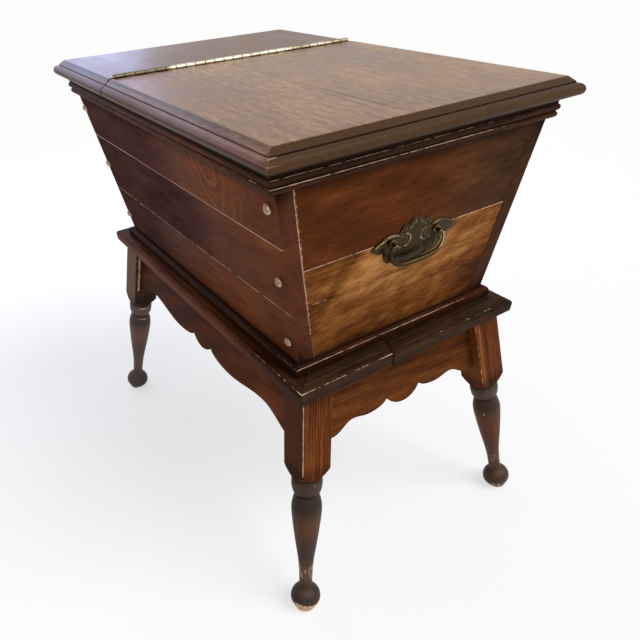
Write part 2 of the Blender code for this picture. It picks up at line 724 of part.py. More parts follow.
def build_mouldings():
    """The rim and shoe mouldings, mitred at the box's leaning corners."""
    run = 2 * max(BOX_RIM_WIDTH, BOX_RIM_DEPTH)
    for side, outward in OUTWARD.items():
        for name, profile in (("rim", rim_profile(side)), ("shoe", shoe_profile(side))):
            blank = outline_mesh(profile, run)
            strip = add_part(name + "_moulding_" + side, blank, DARK_EDGE, edge_frame(outward))
            mitre(strip, side, BOX_CORNER, BOX_LEAN)


# Top

def router_profile(half_size):
    """Waste outside the moulded edge as (distance from the middle, height): bevel, quirk, nose."""
    flat = half_size - EDGE_WIDTH
    outside = half_size + TOP_THICKNESS
    above = TABLE_HEIGHT + BEVEL_DROP
    below = LID_UNDERSIDE - BEVEL_DROP
    nose = arc((half_size - NOSE_RADIUS, LID_UNDERSIDE + NOSE_RADIUS), NOSE_RADIUS, 118, -78, 8)
    return [(flat - BEVEL_WIDTH, above), (flat + BEVEL_WIDTH, TABLE_HEIGHT - BEVEL_DROP), *nose,
            (nose[-1][0], below), (outside, below), (outside, above)]


def build_top():
    """Two lid boards and the fixed rear board, routed round the edge and eased at the hinge."""
    run = 2 * max(TOP_WIDTH, TOP_DEPTH)
    routers = {}
    for side, outward in OUTWARD.items():
        half_size = TOP_DEPTH / 2 if side in ENDS else TOP_WIDTH / 2
        waste = outline_mesh(router_profile(half_size), run)
        routers[side] = add_cutter("router_" + side, waste, edge_frame(outward))
    spare = NOSE_RADIUS / 2
    left, right = -TOP_WIDTH / 2 - spare, TOP_WIDTH / 2 + spare
    front, back = -TOP_DEPTH / 2 - spare, TOP_DEPTH / 2 + spare
    lid_back, rear_front = HINGE_Y - HALF_JOINT, HINGE_Y + HALF_JOINT
    seam_left, seam_right = LID_SEAM_X - FIT_GAP / 2, LID_SEAM_X + FIT_GAP / 2
    boards = (("lid_board_left", (left, front), (seam_left, lid_back), ("left", "front"), BACK),
              ("lid_board_right", (seam_right, front), (right, lid_back), ("right", "front"), BACK),
              ("rear_top_board", (left, rear_front), (right, back), ("left", "right", "back"), FRONT))
    barrel = Vector((0, HINGE_Y, HINGE_Z))
    made = []
    for name, low, high, edges, hinge_side in boards:
        blank = box_mesh((*low, LID_UNDERSIDE), (*high, TABLE_HEIGHT))
        board = add_part(name, blank, DARK_TOP)
        ease = (hinge_side + UP).normalized()
        saw(board, barrel - ease * (KNUCKLE_RADIUS + FIT_GAP), ease)
        for edge in edges:
            boolean(board, routers[edge])
        made.append(board)
    return made[:2]


# Piano hinge

def knuckle_outline(side):
    """Section of a knuckle in (across, up) from the pin: a barrel with a tab down to its leaf."""
    inner = side * FIT_GAP / 2
    outer = side * (FIT_GAP / 2 + LEAF_THICKNESS)
    foot = -KNUCKLE_RADIUS - 2 * LEAF_THICKNESS
    start = math.degrees(math.asin(abs(inner) / KNUCKLE_RADIUS))
    end = math.degrees(math.asin(abs(outer) / KNUCKLE_RADIUS))
    barrel = arc((0, 0), KNUCKLE_RADIUS, -90 + end, 270 + start, KNUCKLE_SEGMENTS)
    if side < 0:
        barrel = arc((0, 0), KNUCKLE_RADIUS, 270 - end, -90 - start, KNUCKLE_SEGMENTS)
    return [*barrel, (inner, foot), (outer, foot)]


def build_hinge():
    """Two leaves with knuckles that take turns along the pin, and the pin."""
    count = int((TOP_WIDTH - 2 * EDGE_WIDTH) / KNUCKLE_PITCH)
    half_length = count * KNUCKLE_PITCH / 2
    across_frame = Matrix(((0, 0, 1), (1, 0, 0), (0, 1, 0))).to_4x4()
    frame = Matrix.Translation((0, HINGE_Y, HINGE_Z)) @ across_frame
    bore = cylinder_mesh(HINGE_BORE_RADIUS, -2 * half_length, 2 * half_length, KNUCKLE_SEGMENTS)
    bore_cutter = add_cutter("hinge_bore", bore, frame)
    leaves = {}
    for name, side, first in (("hinge_rear_leaf", 1, 0), ("hinge_lid_leaf", -1, 1)):
        inner, outer = sorted((side * FIT_GAP / 2, side * (FIT_GAP / 2 + LEAF_THICKNESS)))
        head = -KNUCKLE_RADIUS - FIT_GAP
        plate = box_mesh((inner, head - LEAF_HEIGHT, -half_length), (outer, head, half_length))
        leaf = add_part(name, plate, BRIGHT_BRASS, frame)
        knuckle = outline_mesh(knuckle_outline(side), KNUCKLE_PITCH - FIT_GAP)
        place = Matrix.Translation((0, 0, -half_length + KNUCKLE_PITCH * (first + 0.5)))
        row = add_cutter(name + "_knuckles", knuckle, frame @ place)
        array = row.modifiers.new("row", "ARRAY")
        array.count = (count + 1 - first) // 2
        array.use_relative_offset = False
        array.use_constant_offset = True
        array.constant_offset_displace = (0, 0, 2 * KNUCKLE_PITCH)
        boolean(leaf, row, "UNION")
        boolean(leaf, bore_cutter)
        leaves[name] = leaf
    pin = cylinder_mesh(HINGE_PIN_RADIUS, -half_length, half_length, KNUCKLE_SEGMENTS)
    add_part("hinge_pin", pin, BRIGHT_BRASS, frame)
    return leaves["hinge_lid_leaf"]


# Pull

def plate_outline():
    """Outline of the pull's plate in (across, up) from the posts' line: crest, wings and scrolls."""
    half = PLATE_WIDTH / 2
    crest, drop = PLATE_CREST, PLATE_DROP
    stretches = (
        [(0.0, crest), (half * 0.10, crest * 0.96), (half * 0.19, crest * 0.72)],
        [(half * 0.19, crest * 0.72), (half * 0.30, crest * 0.74), (half * 0.385, crest * 0.40)],
        [(half * 0.385, crest * 0.40), (half * 0.50, crest * 0.49), (half * 0.69, crest * 0.46),
         (half * 0.87, crest * 0.23), (half, crest * 0.05)],
        [(half, crest * 0.05), (half * 0.95, -drop * 0.10), (half * 0.83, -drop * 0.22),
         (half * 0.69, -drop * 0.27)],
        [(half * 0.69, -drop * 0.27), (half * 0.695, -drop * 0.45), (half * 0.62, -drop * 0.68),
         (half * 0.50, -drop * 0.76), (half * 0.45, -drop * 0.63)],
        [(half * 0.45, -drop * 0.63), (half * 0.34, -drop * 0.89), (0.0, -drop)],
    )
    right = []
    for stretch in stretches:
        right.extend(smooth_curve(stretch, 3)[:-1])
    right.append(Vector((0.0, -drop)))
    return [tuple(point) for point in right] + [(-x, y) for x, y in reversed(right[1:-1])]


def post_profile():
    """Profile of a post as (radius, height above the board): head, neck, collar and shank."""
    head = [(POST_HEAD_RADIUS * math.sin(math.radians(angle)),
             POST_STANDOFF + POST_HEAD_RADIUS * math.cos(math.radians(angle)))
            for angle in (0, 35, 65, 90, 115)]
    seat = PLATE_THICKNESS + 2 * FIT_GAP
    collar_top = seat + POST_COLLAR_HEIGHT
    end = -(BOARD_THICKNESS + NUT_HEIGHT + 2 * FIT_GAP)
    return [*head, (POST_NECK_RADIUS, POST_STANDOFF - POST_HEAD_RADIUS), (POST_NECK_RADIUS, collar_top),
            (POST_COLLAR_RADIUS * 0.8, collar_top), (POST_COLLAR_RADIUS, seat + POST_COLLAR_HEIGHT / 2),
            (POST_COLLAR_RADIUS, seat), (POST_SHANK_RADIUS, seat), (POST_SHANK_RADIUS, end), (0.0, end)]


def bail_path():
    """Centre line of the bail in (across, up) from its pivots, with the wire's radius at each point."""
    tip = POST_SPACING / 2 - POST_HEAD_RADIUS * 0.7
    leg = POST_SPACING / 2 + POST_HEAD_RADIUS + PINTLE_RADIUS + 2 * FIT_GAP
    grip = BAIL_GRIP_RADIUS
    wire = PINTLE_RADIUS
    bend = PINTLE_RADIUS * 1.1
    knots = [(leg, -bend, wire), (leg + wire * 0.4, -BAIL_DROP * 0.34, wire * 1.1),
             (leg - wire, -BAIL_DROP * 0.64, wire * 1.25), (leg * 0.72, -BAIL_DROP * 0.90, wire * 1.4),
             (leg * 0.36, -BAIL_DROP * 0.985, grip * 0.86), (0.0, -BAIL_DROP, grip)]
    half = [Vector((tip, 0, wire)), Vector((leg - bend * 1.6, 0, wire)),
            Vector((leg - bend * 0.4, -bend * 0.3, wire))]
    half += smooth_curve(knots, 3)
    return [Vector((-x, y, r)) for x, y, r in half] + list(reversed(half[:-1]))


def bail_mesh():
    """The bail as a wire of changing thickness."""
    curve = bpy.data.curves.new("bail", "CURVE")
    curve.dimensions = "3D"
    curve.bevel_depth = 1.0
    curve.bevel_resolution = 2
    curve.use_fill_caps = True
    path = bail_path()
    spline = curve.splines.new("POLY")
    spline.points.add(len(path) - 1)
    for point, (across, up, radius) in zip(spline.points, path):
        point.co = (across, 0, up, 1)
        point.radius = radius
    return mesh_from_curve(curve)


def build_pull(front_boards):
    """The plate, its two posts and nuts, and the bail that hangs plumb from the posts."""
    frame = wall_frame("front", POST_Z) @ Matrix.Translation((PULL_OFFSET, 0, 0))
    seat = frame @ Matrix.Translation((0, 0, FIT_GAP + PLATE_THICKNESS / 2))
    plate = add_part("pull_plate", outline_mesh(plate_outline(), PLATE_THICKNESS), OLD_BRASS, seat)
    hole = cylinder_mesh(POST_SHANK_RADIUS + FIT_GAP, -2 * BOARD_THICKNESS, POST_STANDOFF, POST_SEGMENTS)
    pivot = frame @ Matrix.Translation((0, 0, POST_STANDOFF))
    sideways = Matrix.Rotation(math.radians(90), 4, "Y")
    eye = cylinder_mesh(PINTLE_RADIUS + PINTLE_CLEARANCE, -POST_SPACING, POST_SPACING, POST_SEGMENTS)
    eye_cutter = add_cutter("pull_eye", eye, pivot @ sideways)
    for name, x in (("left", -POST_SPACING / 2), ("right", POST_SPACING / 2)):
        stand = frame @ Matrix.Translation((x, 0, 0))
        post = turned_body("pull_post_" + name, post_profile(), POST_SEGMENTS, stand, OLD_BRASS)
        boolean(post, eye_cutter)
        hole_cutter = add_cutter("pull_hole_" + name, hole, stand)
        boolean(plate, hole_cutter)
        for board, low, high in front_boards:
            if meets_board("front", low, high, [stand.translation], POST_SHANK_RADIUS):
                boolean(board, hole_cutter)
        nut_top = -(BOARD_THICKNESS + FIT_GAP)
        hexagon = cylinder_mesh(NUT_RADIUS, nut_top - NUT_HEIGHT, nut_top, 6)
        nut = add_part("pull_nut_" + name, hexagon, OLD_BRASS, stand)
        boolean(nut, hole_cutter)
    bail = add_part("pull_bail", bail_mesh(), OLD_BRASS, Matrix.Translation(pivot.translation))
    return bail, pivot.translation


build_rails()
LEGS = build_legs()
build_aprons(LEGS)
WALLS = {
    "left": build_wall("left", SIDE_SEAMS, [RED_BROWN, RED_BROWN, RED_BROWN]),
    "right": build_wall("right", SIDE_SEAMS, [RED_BROWN, RED_BROWN, RED_BROWN]),
    "front": build_wall("front", END_SEAMS, [GOLD_BROWN, GOLD_BROWN, RED_BROWN]),
    "back": build_wall("back", END_SEAMS, [RED_BROWN, RED_BROWN, RED_BROWN]),
}
build_floor()
build_pegs(WALLS)
build_mouldings()
LID_AXIS = add_axis("lid_axis", (0, HINGE_Y, HINGE_Z))
for lid_piece in (*build_top(), build_hinge()):
    carry(LID_AXIS, lid_piece)
BAIL, BAIL_PIVOT = build_pull(WALLS["front"])
BAIL_AXIS = add_axis("bail_axis", BAIL_PIVOT)
carry(BAIL_AXIS, BAIL)
for part in PARTS.objects:
    if part.type == "MESH":
        part.data.shade_smooth()
        part.data.set_sharp_from_angle(angle=math.radians(35))
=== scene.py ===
"""Dough box table: the look of each piece, in the order in which the table is put together."""
import math

import bmesh
import bpy
import numpy as np
from mathutils import Matrix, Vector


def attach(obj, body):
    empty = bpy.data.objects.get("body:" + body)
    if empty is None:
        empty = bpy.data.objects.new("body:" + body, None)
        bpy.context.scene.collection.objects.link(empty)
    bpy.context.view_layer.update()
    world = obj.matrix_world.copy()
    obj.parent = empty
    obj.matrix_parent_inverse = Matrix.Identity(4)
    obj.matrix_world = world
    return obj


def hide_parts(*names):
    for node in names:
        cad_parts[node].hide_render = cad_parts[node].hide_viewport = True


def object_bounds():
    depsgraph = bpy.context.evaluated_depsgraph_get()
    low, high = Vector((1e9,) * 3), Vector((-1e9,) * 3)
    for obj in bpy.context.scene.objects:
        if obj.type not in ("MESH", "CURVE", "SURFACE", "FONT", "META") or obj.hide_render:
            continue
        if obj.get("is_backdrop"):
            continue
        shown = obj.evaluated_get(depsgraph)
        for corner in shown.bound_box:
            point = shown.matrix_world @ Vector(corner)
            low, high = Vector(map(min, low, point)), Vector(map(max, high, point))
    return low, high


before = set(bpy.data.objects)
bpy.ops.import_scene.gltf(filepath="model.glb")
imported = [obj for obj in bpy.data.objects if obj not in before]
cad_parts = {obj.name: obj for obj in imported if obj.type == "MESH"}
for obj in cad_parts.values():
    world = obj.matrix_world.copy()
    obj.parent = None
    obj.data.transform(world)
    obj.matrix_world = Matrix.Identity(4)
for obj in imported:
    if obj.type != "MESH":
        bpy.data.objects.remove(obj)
cad_low, cad_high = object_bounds()

# Legs. Straight-grained softwood, left square at the top for the apron joints and turned below into
# a bead, a vase and a pad foot. The block shows its striped grain through the stain. The turning is
# nearly black, rubbed through to brown on the belly, at the neck and round the foot.

LEG_BLOCK = 0.038
LEG_SPLAY = 0.1625
LEG_TOP = 0.2877
FOOT_X, FOOT_Y = 0.172, 0.2745
LEG_ROUND = 144
LEG_ARRIS_POWER = 34
ARRIS_CHIP_Z, BLOCK_FOOT, BEAD_LIP_Z, BEAD_Z = 0.206, 0.1816, 0.1775, 0.172
GROOVE_Z, VASE_TOP_Z, BELLY_Z, NECK_Z = 0.1600, 0.1545, 0.120, 0.052
FOOT_CROWN_Z, FOOT_BAND_Z = 0.0265, 0.0158
OUTWARD = {"front": np.array([0.0, -1.0, 0.0]), "back": np.array([0.0, 1.0, 0.0]),
           "left": np.array([-1.0, 0.0, 0.0]), "right": np.array([1.0, 0.0, 0.0])}
UP = np.array([0.0, 0.0, 1.0])


def paint(red, green, blue):
    """Linear colour of a finish written as it looks on a screen, each part from 0 to 255."""
    parts = np.array([red, green, blue]) / 255
    linear = np.where(parts > 0.04045, ((parts + 0.055) / 1.055) ** 2.4, parts / 12.92)
    return (*linear.tolist(), 1.0)


def new_material(name):
    """A material with nodes, its tree and its main shader."""
    material = bpy.data.materials.new(name)
    material.use_nodes = True
    return material, material.node_tree, material.node_tree.nodes["Principled BSDF"]


def add_node(tree, kind, sockets, **settings):
    """Add a shader node. A socket takes a value, or the output of another node."""
    node = tree.nodes.new("ShaderNode" + kind)
    for key, value in settings.items():
        setattr(node, key, value)
    for key, value in sockets.items():
        if isinstance(value, bpy.types.NodeSocket):
            tree.links.new(value, node.inputs[key])
        else:
            node.inputs[key].default_value = value
    return node


def noise(tree, place, cell, detail=3.0, roughness=0.55, turn=0.0):
    """Noise whose cells have a length in metres along each axis, turned about the third axis."""
    sockets = {"Vector": place, "Scale": cell, "Rotation": (0, 0, turn)}
    shrunk = add_node(tree, "Mapping", sockets, vector_type="TEXTURE").outputs[0]
    sockets = {"Vector": shrunk, "Scale": 1.0, "Detail": detail, "Roughness": roughness}
    return add_node(tree, "TexNoise", sockets).outputs[0]


def wave_rings(tree, place, width, distortion, detail_scale, axis):
    """Waves in rings round an axis, each a width in metres apart. The node makes one wave to pi / 10."""
    sockets = {"Vector": place, "Scale": math.pi / 10 / width, "Distortion": distortion, "Detail": 3.0,
               "Detail Scale": detail_scale}
    return add_node(tree, "TexWave", sockets, wave_type="RINGS", rings_direction=axis).outputs["Fac"]


def math_node(tree, operation, *values):
    """One step of arithmetic on numbers or outputs."""
    return add_node(tree, "Math", dict(enumerate(values)), operation=operation).outputs[0]


def remap(tree, value, low, high, start=0.0, end=1.0):
    """Smooth step of a value between two levels."""
    sockets = {"Value": value, "From Min": low, "From Max": high, "To Min": start, "To Max": end}
    return add_node(tree, "MapRange", sockets, interpolation_type="SMOOTHSTEP").outputs[0]


def mix(tree, share, first, second):
    """First colour, going over to the second by a share."""
    return add_node(tree, "Mix", {0: share, 6: first, 7: second}, data_type="RGBA").outputs[2]


def ramp(tree, value, tones):
    """Colour by value through four tones, from dark to light."""
    made = add_node(tree, "ValToRGB", {"Fac": value})
    elements = made.color_ramp.elements
    elements[0].position, elements[1].position = 0.16, 0.88
    elements[0].color, elements[1].color = paint(*tones[0]), paint(*tones[3])
    elements.new(0.42).color = paint(*tones[1])
    elements.new(0.62).color = paint(*tones[2])
    return made.outputs["Color"]


def attribute(tree, name):
    """A number that the piece stores at each of its points."""
    return add_node(tree, "Attribute", {}, attribute_name=name).outputs["Fac"]


FIBRE_LENGTH = 0.125
PORE_CELL = (0.013, 0.0011, 0.0011)
BLOTCH_CELL = (0.13, 0.055, 0.055)
CRUMB_CELL = (0.009, 0.003, 0.003)
KNOT_RING, KNOT_LINE = 0.013, (150, 98, 66)
GRAIN_RELIEF = 0.0007
SOIL_AND_SHADE = (22, 13, 9)


def wood(name, tones, pale_colour, others=None, fibre=0.9, rings=0.25, blotch=0.5, mottle=0.0, grit=0.5,
         ring_width=0.006, pith=(0.011, 0.05), tilt=0.6, thread=0.0036, curl=(0.015, 0.015, 0.015),
         slant=0.0, swirl=None, glaze_and_sheen=None, gloss=(0.40, 0.55), shine=(0.015, 0.015), relief=0.3):
    """Stained wood, by the attributes of its piece.

    grain is a point's place in the board: along, across and into it. Noise drawn out along it makes
    the fibre, waves round a pith under the board the growth rings, broad noise the blotches, slanting
    noise the mottle and short fine noise the pores. Their sum, by figure, and tone choose from the
    tones, or from the others where second is 1. A swirl is thin pale lines round a knot, and a tint is
    laid over it all, which on the top's left side is a painted purple reflection. A near black colour
    marks dust gathered in hollows and is also painted shade and painted shadow; a pale colour marks
    wood scuffed through the stain and is also a painted highlight, broken up by noise.
    """
    material, tree, shader = new_material(name)
    grain = add_node(tree, "Attribute", {}, attribute_name="grain").outputs["Vector"]
    streak = noise(tree, grain, (FIBRE_LENGTH, thread, thread), 6.0, 0.62)
    pore = noise(tree, grain, PORE_CELL, 3.0, 0.6)
    cloud = noise(tree, grain, BLOTCH_CELL, 3.0)
    feather = noise(tree, grain, curl, 4.0, 0.62, slant)
    sockets = {"Vector": grain, "Location": (0.3, *pith), "Rotation": (0, tilt, 0.2 * tilt),
               "Scale": (0.16, 1, 1)}
    bent = add_node(tree, "Mapping", sockets).outputs[0]
    growth = wave_rings(tree, bent, ring_width, 2.2 + 4.6 * tilt, 0.45, "X")
    value = math_node(tree, "MULTIPLY_ADD", streak, fibre, -(fibre + rings + blotch + mottle + grit) / 2)
    for layer, share in ((growth, rings), (cloud, blotch), (feather, mottle), (pore, grit)):
        value = math_node(tree, "MULTIPLY_ADD", layer, share, value)
    middle = math_node(tree, "ADD", attribute(tree, "tone"), 0.52)
    value = math_node(tree, "MULTIPLY_ADD", value, attribute(tree, "figure"), middle)
    colour = ramp(tree, value, tones)
    if others:
        colour = mix(tree, attribute(tree, "second"), colour, ramp(tree, value, others))
    if swirl:
        sockets = {"Vector": grain, "Location": swirl, "Scale": (1, 2.2, 1)}
        around = add_node(tree, "Mapping", sockets, vector_type="TEXTURE").outputs[0]
        lines = remap(tree, wave_rings(tree, around, KNOT_RING, 9.0, 0.7, "Z"), 0.82, 1.0)
        thin = math_node(tree, "MULTIPLY", lines, attribute(tree, "swirl"))
        colour = mix(tree, thin, colour, paint(*KNOT_LINE))
    if glaze_and_sheen:
        colour = mix(tree, attribute(tree, "glaze_and_sheen"), colour, paint(*glaze_and_sheen))
    # Near black colour: dust in hollows, and painted shade and painted shadow where a piece's marks ask
    # for it.
    dirt_and_shade = math_node(tree, "MULTIPLY", attribute(tree, "soil"), remap(tree, cloud, 0.2, 0.6, 0.6, 1.0))
    colour = mix(tree, dirt_and_shade, colour, paint(*SOIL_AND_SHADE))
    crumbs = noise(tree, grain, CRUMB_CELL, 4.0, 0.7)
    # Pale colour: wood scuffed through the stain, and painted highlights where a piece's marks ask for it.
    pale_share = remap(tree, math_node(tree, "MULTIPLY_ADD", crumbs, 1.5, attribute(tree, "wear")), 1.28, 1.48)
    pale_grain_share = remap(tree, math_node(tree, "MULTIPLY_ADD", pore, 0.4, streak), 0.5, 0.95)
    dim = [0.78 * part for part in pale_colour]
    colour = mix(tree, pale_share, colour, mix(tree, pale_grain_share, paint(*dim), paint(*pale_colour)))
    tree.links.new(colour, shader.inputs["Base Color"])
    polish = remap(tree, math_node(tree, "MULTIPLY_ADD", streak, 0.6, cloud), 0.5, 1.1, *gloss)
    tree.links.new(math_node(tree, "MULTIPLY_ADD", pale_share, 0.16, polish), shader.inputs["Roughness"])
    height = math_node(tree, "MULTIPLY_ADD", pore, 0.5, streak)
    height = math_node(tree, "MULTIPLY_ADD", pale_share, -0.4, height)
    bump = add_node(tree, "Bump", {"Strength": relief, "Distance": GRAIN_RELIEF, "Height": height})
    tree.links.new(bump.outputs[0], shader.inputs["Normal"])
    specular = remap(tree, attribute(tree, "second"), 0.0, 1.0, *shine)
    tree.links.new(specular, shader.inputs["Specular IOR Level"])
    return material


def add_object(name, data):
    """Show a mesh, a lamp or a camera in the scene."""
    made = bpy.data.objects.new(name, data)
    bpy.context.scene.collection.objects.link(made)
    return made


def add_piece(name, points, faces, material, slot, nodes, body="table", sharp=38, **marks):
    """Make one closed piece, store its marks as attributes, and set it in the place of its CAD nodes."""
    shape = np.shape(points)[:-1]
    mesh = bpy.data.meshes.new(name)
    mesh.from_pydata(np.reshape(points, (-1, 3)).tolist(), [], faces)
    for key, values in {"figure": 1.0, "second": 0.0, **marks}.items():
        vector = key == "grain"
        layer = mesh.attributes.new(key, "FLOAT_VECTOR" if vector else "FLOAT", "POINT")
        numbers = np.broadcast_to(values, (*shape, 3) if vector else shape)
        numbers = np.ascontiguousarray(numbers, dtype=np.float32).ravel()
        layer.data.foreach_set("vector" if vector else "value", numbers)
    form = bmesh.new()
    form.from_mesh(mesh)
    bmesh.ops.remove_doubles(form, verts=form.verts, dist=0.000001)
    bmesh.ops.recalc_face_normals(form, faces=form.faces)
    form.to_mesh(mesh)
    form.free()
    mesh.shade_smooth()
    mesh.set_sharp_from_angle(angle=math.radians(sharp))
    mesh.materials.append(material)
    piece = add_object(name, mesh)
    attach(piece, body)
    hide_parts(*nodes)


def net(rows, columns, wrap=False):
    """Quads of a grid of points numbered row by row, its columns joined up into a ring if wrapped."""
    row, column = np.meshgrid(np.arange(rows - 1), np.arange(columns - (not wrap)), indexing="ij")
    beside = (column + 1) % columns
    corners = [row * columns + column, row * columns + beside, (row + 1) * columns + beside,
               (row + 1) * columns + column]
    return np.stack(corners, -1).reshape(-1, 4)


def tube(rows, columns, caps):
    """Faces of a wrapped grid, with its first and perhaps its last row closed by a cap."""
    ends = [list(range(columns)), list(range((rows - 1) * columns, rows * columns))]
    return net(rows, columns, wrap=True).tolist() + ends[:caps]


def smooth_curve(points, steps):
    """Catmull-Rom curve: between two points a cubic that leaves each along its neighbours' line."""
    knots = np.asarray(points, float)
    knots = np.vstack([2 * knots[0] - knots[1], knots, 2 * knots[-1] - knots[-2]])
    before, start, end, after = knots[:-3, None], knots[1:-2, None], knots[2:-1, None], knots[3:, None]
    t = (np.arange(steps) / steps)[:, None]
    curve = (start + (end - before) * t / 2 + (2 * before - 5 * start + 4 * end - after) * t ** 2 / 2
             + (3 * start - before - 3 * end + after) * t ** 3 / 2)
    return np.vstack([curve.reshape(-1, knots.shape[1]), knots[-2]])


def set_out(origin, axes, x, y, z):
    """Points at the distances x, y and z from an origin along three axes."""
    return origin + x[..., None] * axes[0] + y[..., None] * axes[1] + z[..., None] * axes[2]


def ease(value, low, high):
    """Smooth step from 0 at low to 1 at high."""
    share = np.clip((value - low) / (high - low), 0, 1)
    return share * share * (3 - 2 * share)


def bump_at(value, centre, width):
    """A bell of height 1 at a centre."""
    return np.exp(-((value - centre) / width) ** 2)


def leg_axes(end, side):
    """Origin under the foot, and the leg's own X, Y and upward axes after the splay."""
    origin = OUTWARD[side] * FOOT_X + OUTWARD[end] * FOOT_Y
    axis = UP - (OUTWARD[end] + OUTWARD[side]) * LEG_SPLAY
    axis = axis / np.linalg.norm(axis)
    turn = np.cross(UP, axis)
    swing = np.array([[0, -turn[2], turn[1]], [turn[2], 0, -turn[0]], [-turn[1], turn[0], 0]])
    turned_axes = np.eye(3) + swing + swing @ swing / (1 + axis[2])
    return origin, turned_axes.T


def turned_profile():
    """Radius by height of the turning: a coned shoulder, a bead on a quarter ellipse down to a groove,
    a vase on a curve through its belly to the neck, and a foot on a flattened ball cut by the floor."""
    corner = 1.1 * LEG_BLOCK / math.sqrt(2)
    shoulder = smooth_curve([(corner, 0.2005), (0.02528, 0.1929), (0.0162, 0.1815)], 16)
    lip = np.array([(0.0166, 0.1814), (0.01715, 0.1808), (0.0176, 0.1795), (0.01785, 0.1770)])
    turn = np.radians(np.linspace(0, 76, 16))
    bead = np.column_stack([0.0130 + 0.0049 * np.cos(turn), 0.1745 - 0.0140 * np.sin(turn)])
    vase = smooth_curve([(0.0130, 0.1605), (0.01646, 0.1509), (0.0177, 0.1365), (0.01416, 0.10248),
                         (0.00936, 0.06657), (0.0080, 0.042), (0.00805, 0.036), (0.0082, 0.0315)], 12)
    fall = np.radians(np.linspace(62, -44, 26))
    foot = np.column_stack([0.0181 * np.cos(fall), 0.0145 + 0.0161 * np.sin(fall)])
    sole = [(0.0120, 0.0), (0.0072, -0.009), (0.0, -0.009)]
    return np.vstack([shoulder, lip, bead, vase, foot, sole])


def leg_surface(end, side):
    """Grid of angle and height: the radius is the smaller of the turned profile's and that of
    a square with eased corners, half a side over the power mean of |cos| and |sin|. What the profile
    has below the floor is drawn up to it along the leg."""
    origin, axes = leg_axes(end, side)
    across, deep, axis = axes
    turn = 2 * np.pi * np.arange(LEG_ROUND) / LEG_ROUND
    angle = turn - 0.75 / 4 * np.sin(4 * turn - np.pi)
    cosine, sine = np.cos(angle), np.sin(angle)
    power = LEG_ARRIS_POWER
    square = LEG_BLOCK / 2 / (np.abs(cosine) ** power + np.abs(sine) ** power) ** (1 / power)
    profile = turned_profile()
    stretch = math.sqrt(1 + 2 * LEG_SPLAY ** 2)
    radius = np.minimum(profile[:, :1], square)
    height = np.repeat(profile[:, 1:] * stretch, LEG_ROUND, axis=1)
    lateral = radius[0] * (cosine * across[2] + sine * deep[2])
    share = np.linspace(1, 0, 26)[:-1, None]
    top = (LEG_TOP - lateral) / axis[2]
    block_height = height[0] + (top - height[0]) * share
    radius = np.vstack([np.repeat(square[None], len(share), axis=0), radius])
    height = np.vstack([block_height, height])
    side_x, side_y = radius * cosine, radius * sine
    points = set_out(origin, axes, side_x, side_y, height)
    sunk = np.minimum(points[..., 2], 0) / axis[2]
    points = points - sunk[..., None] * axis
    return points, side_x, side_y, height / stretch, angle, square


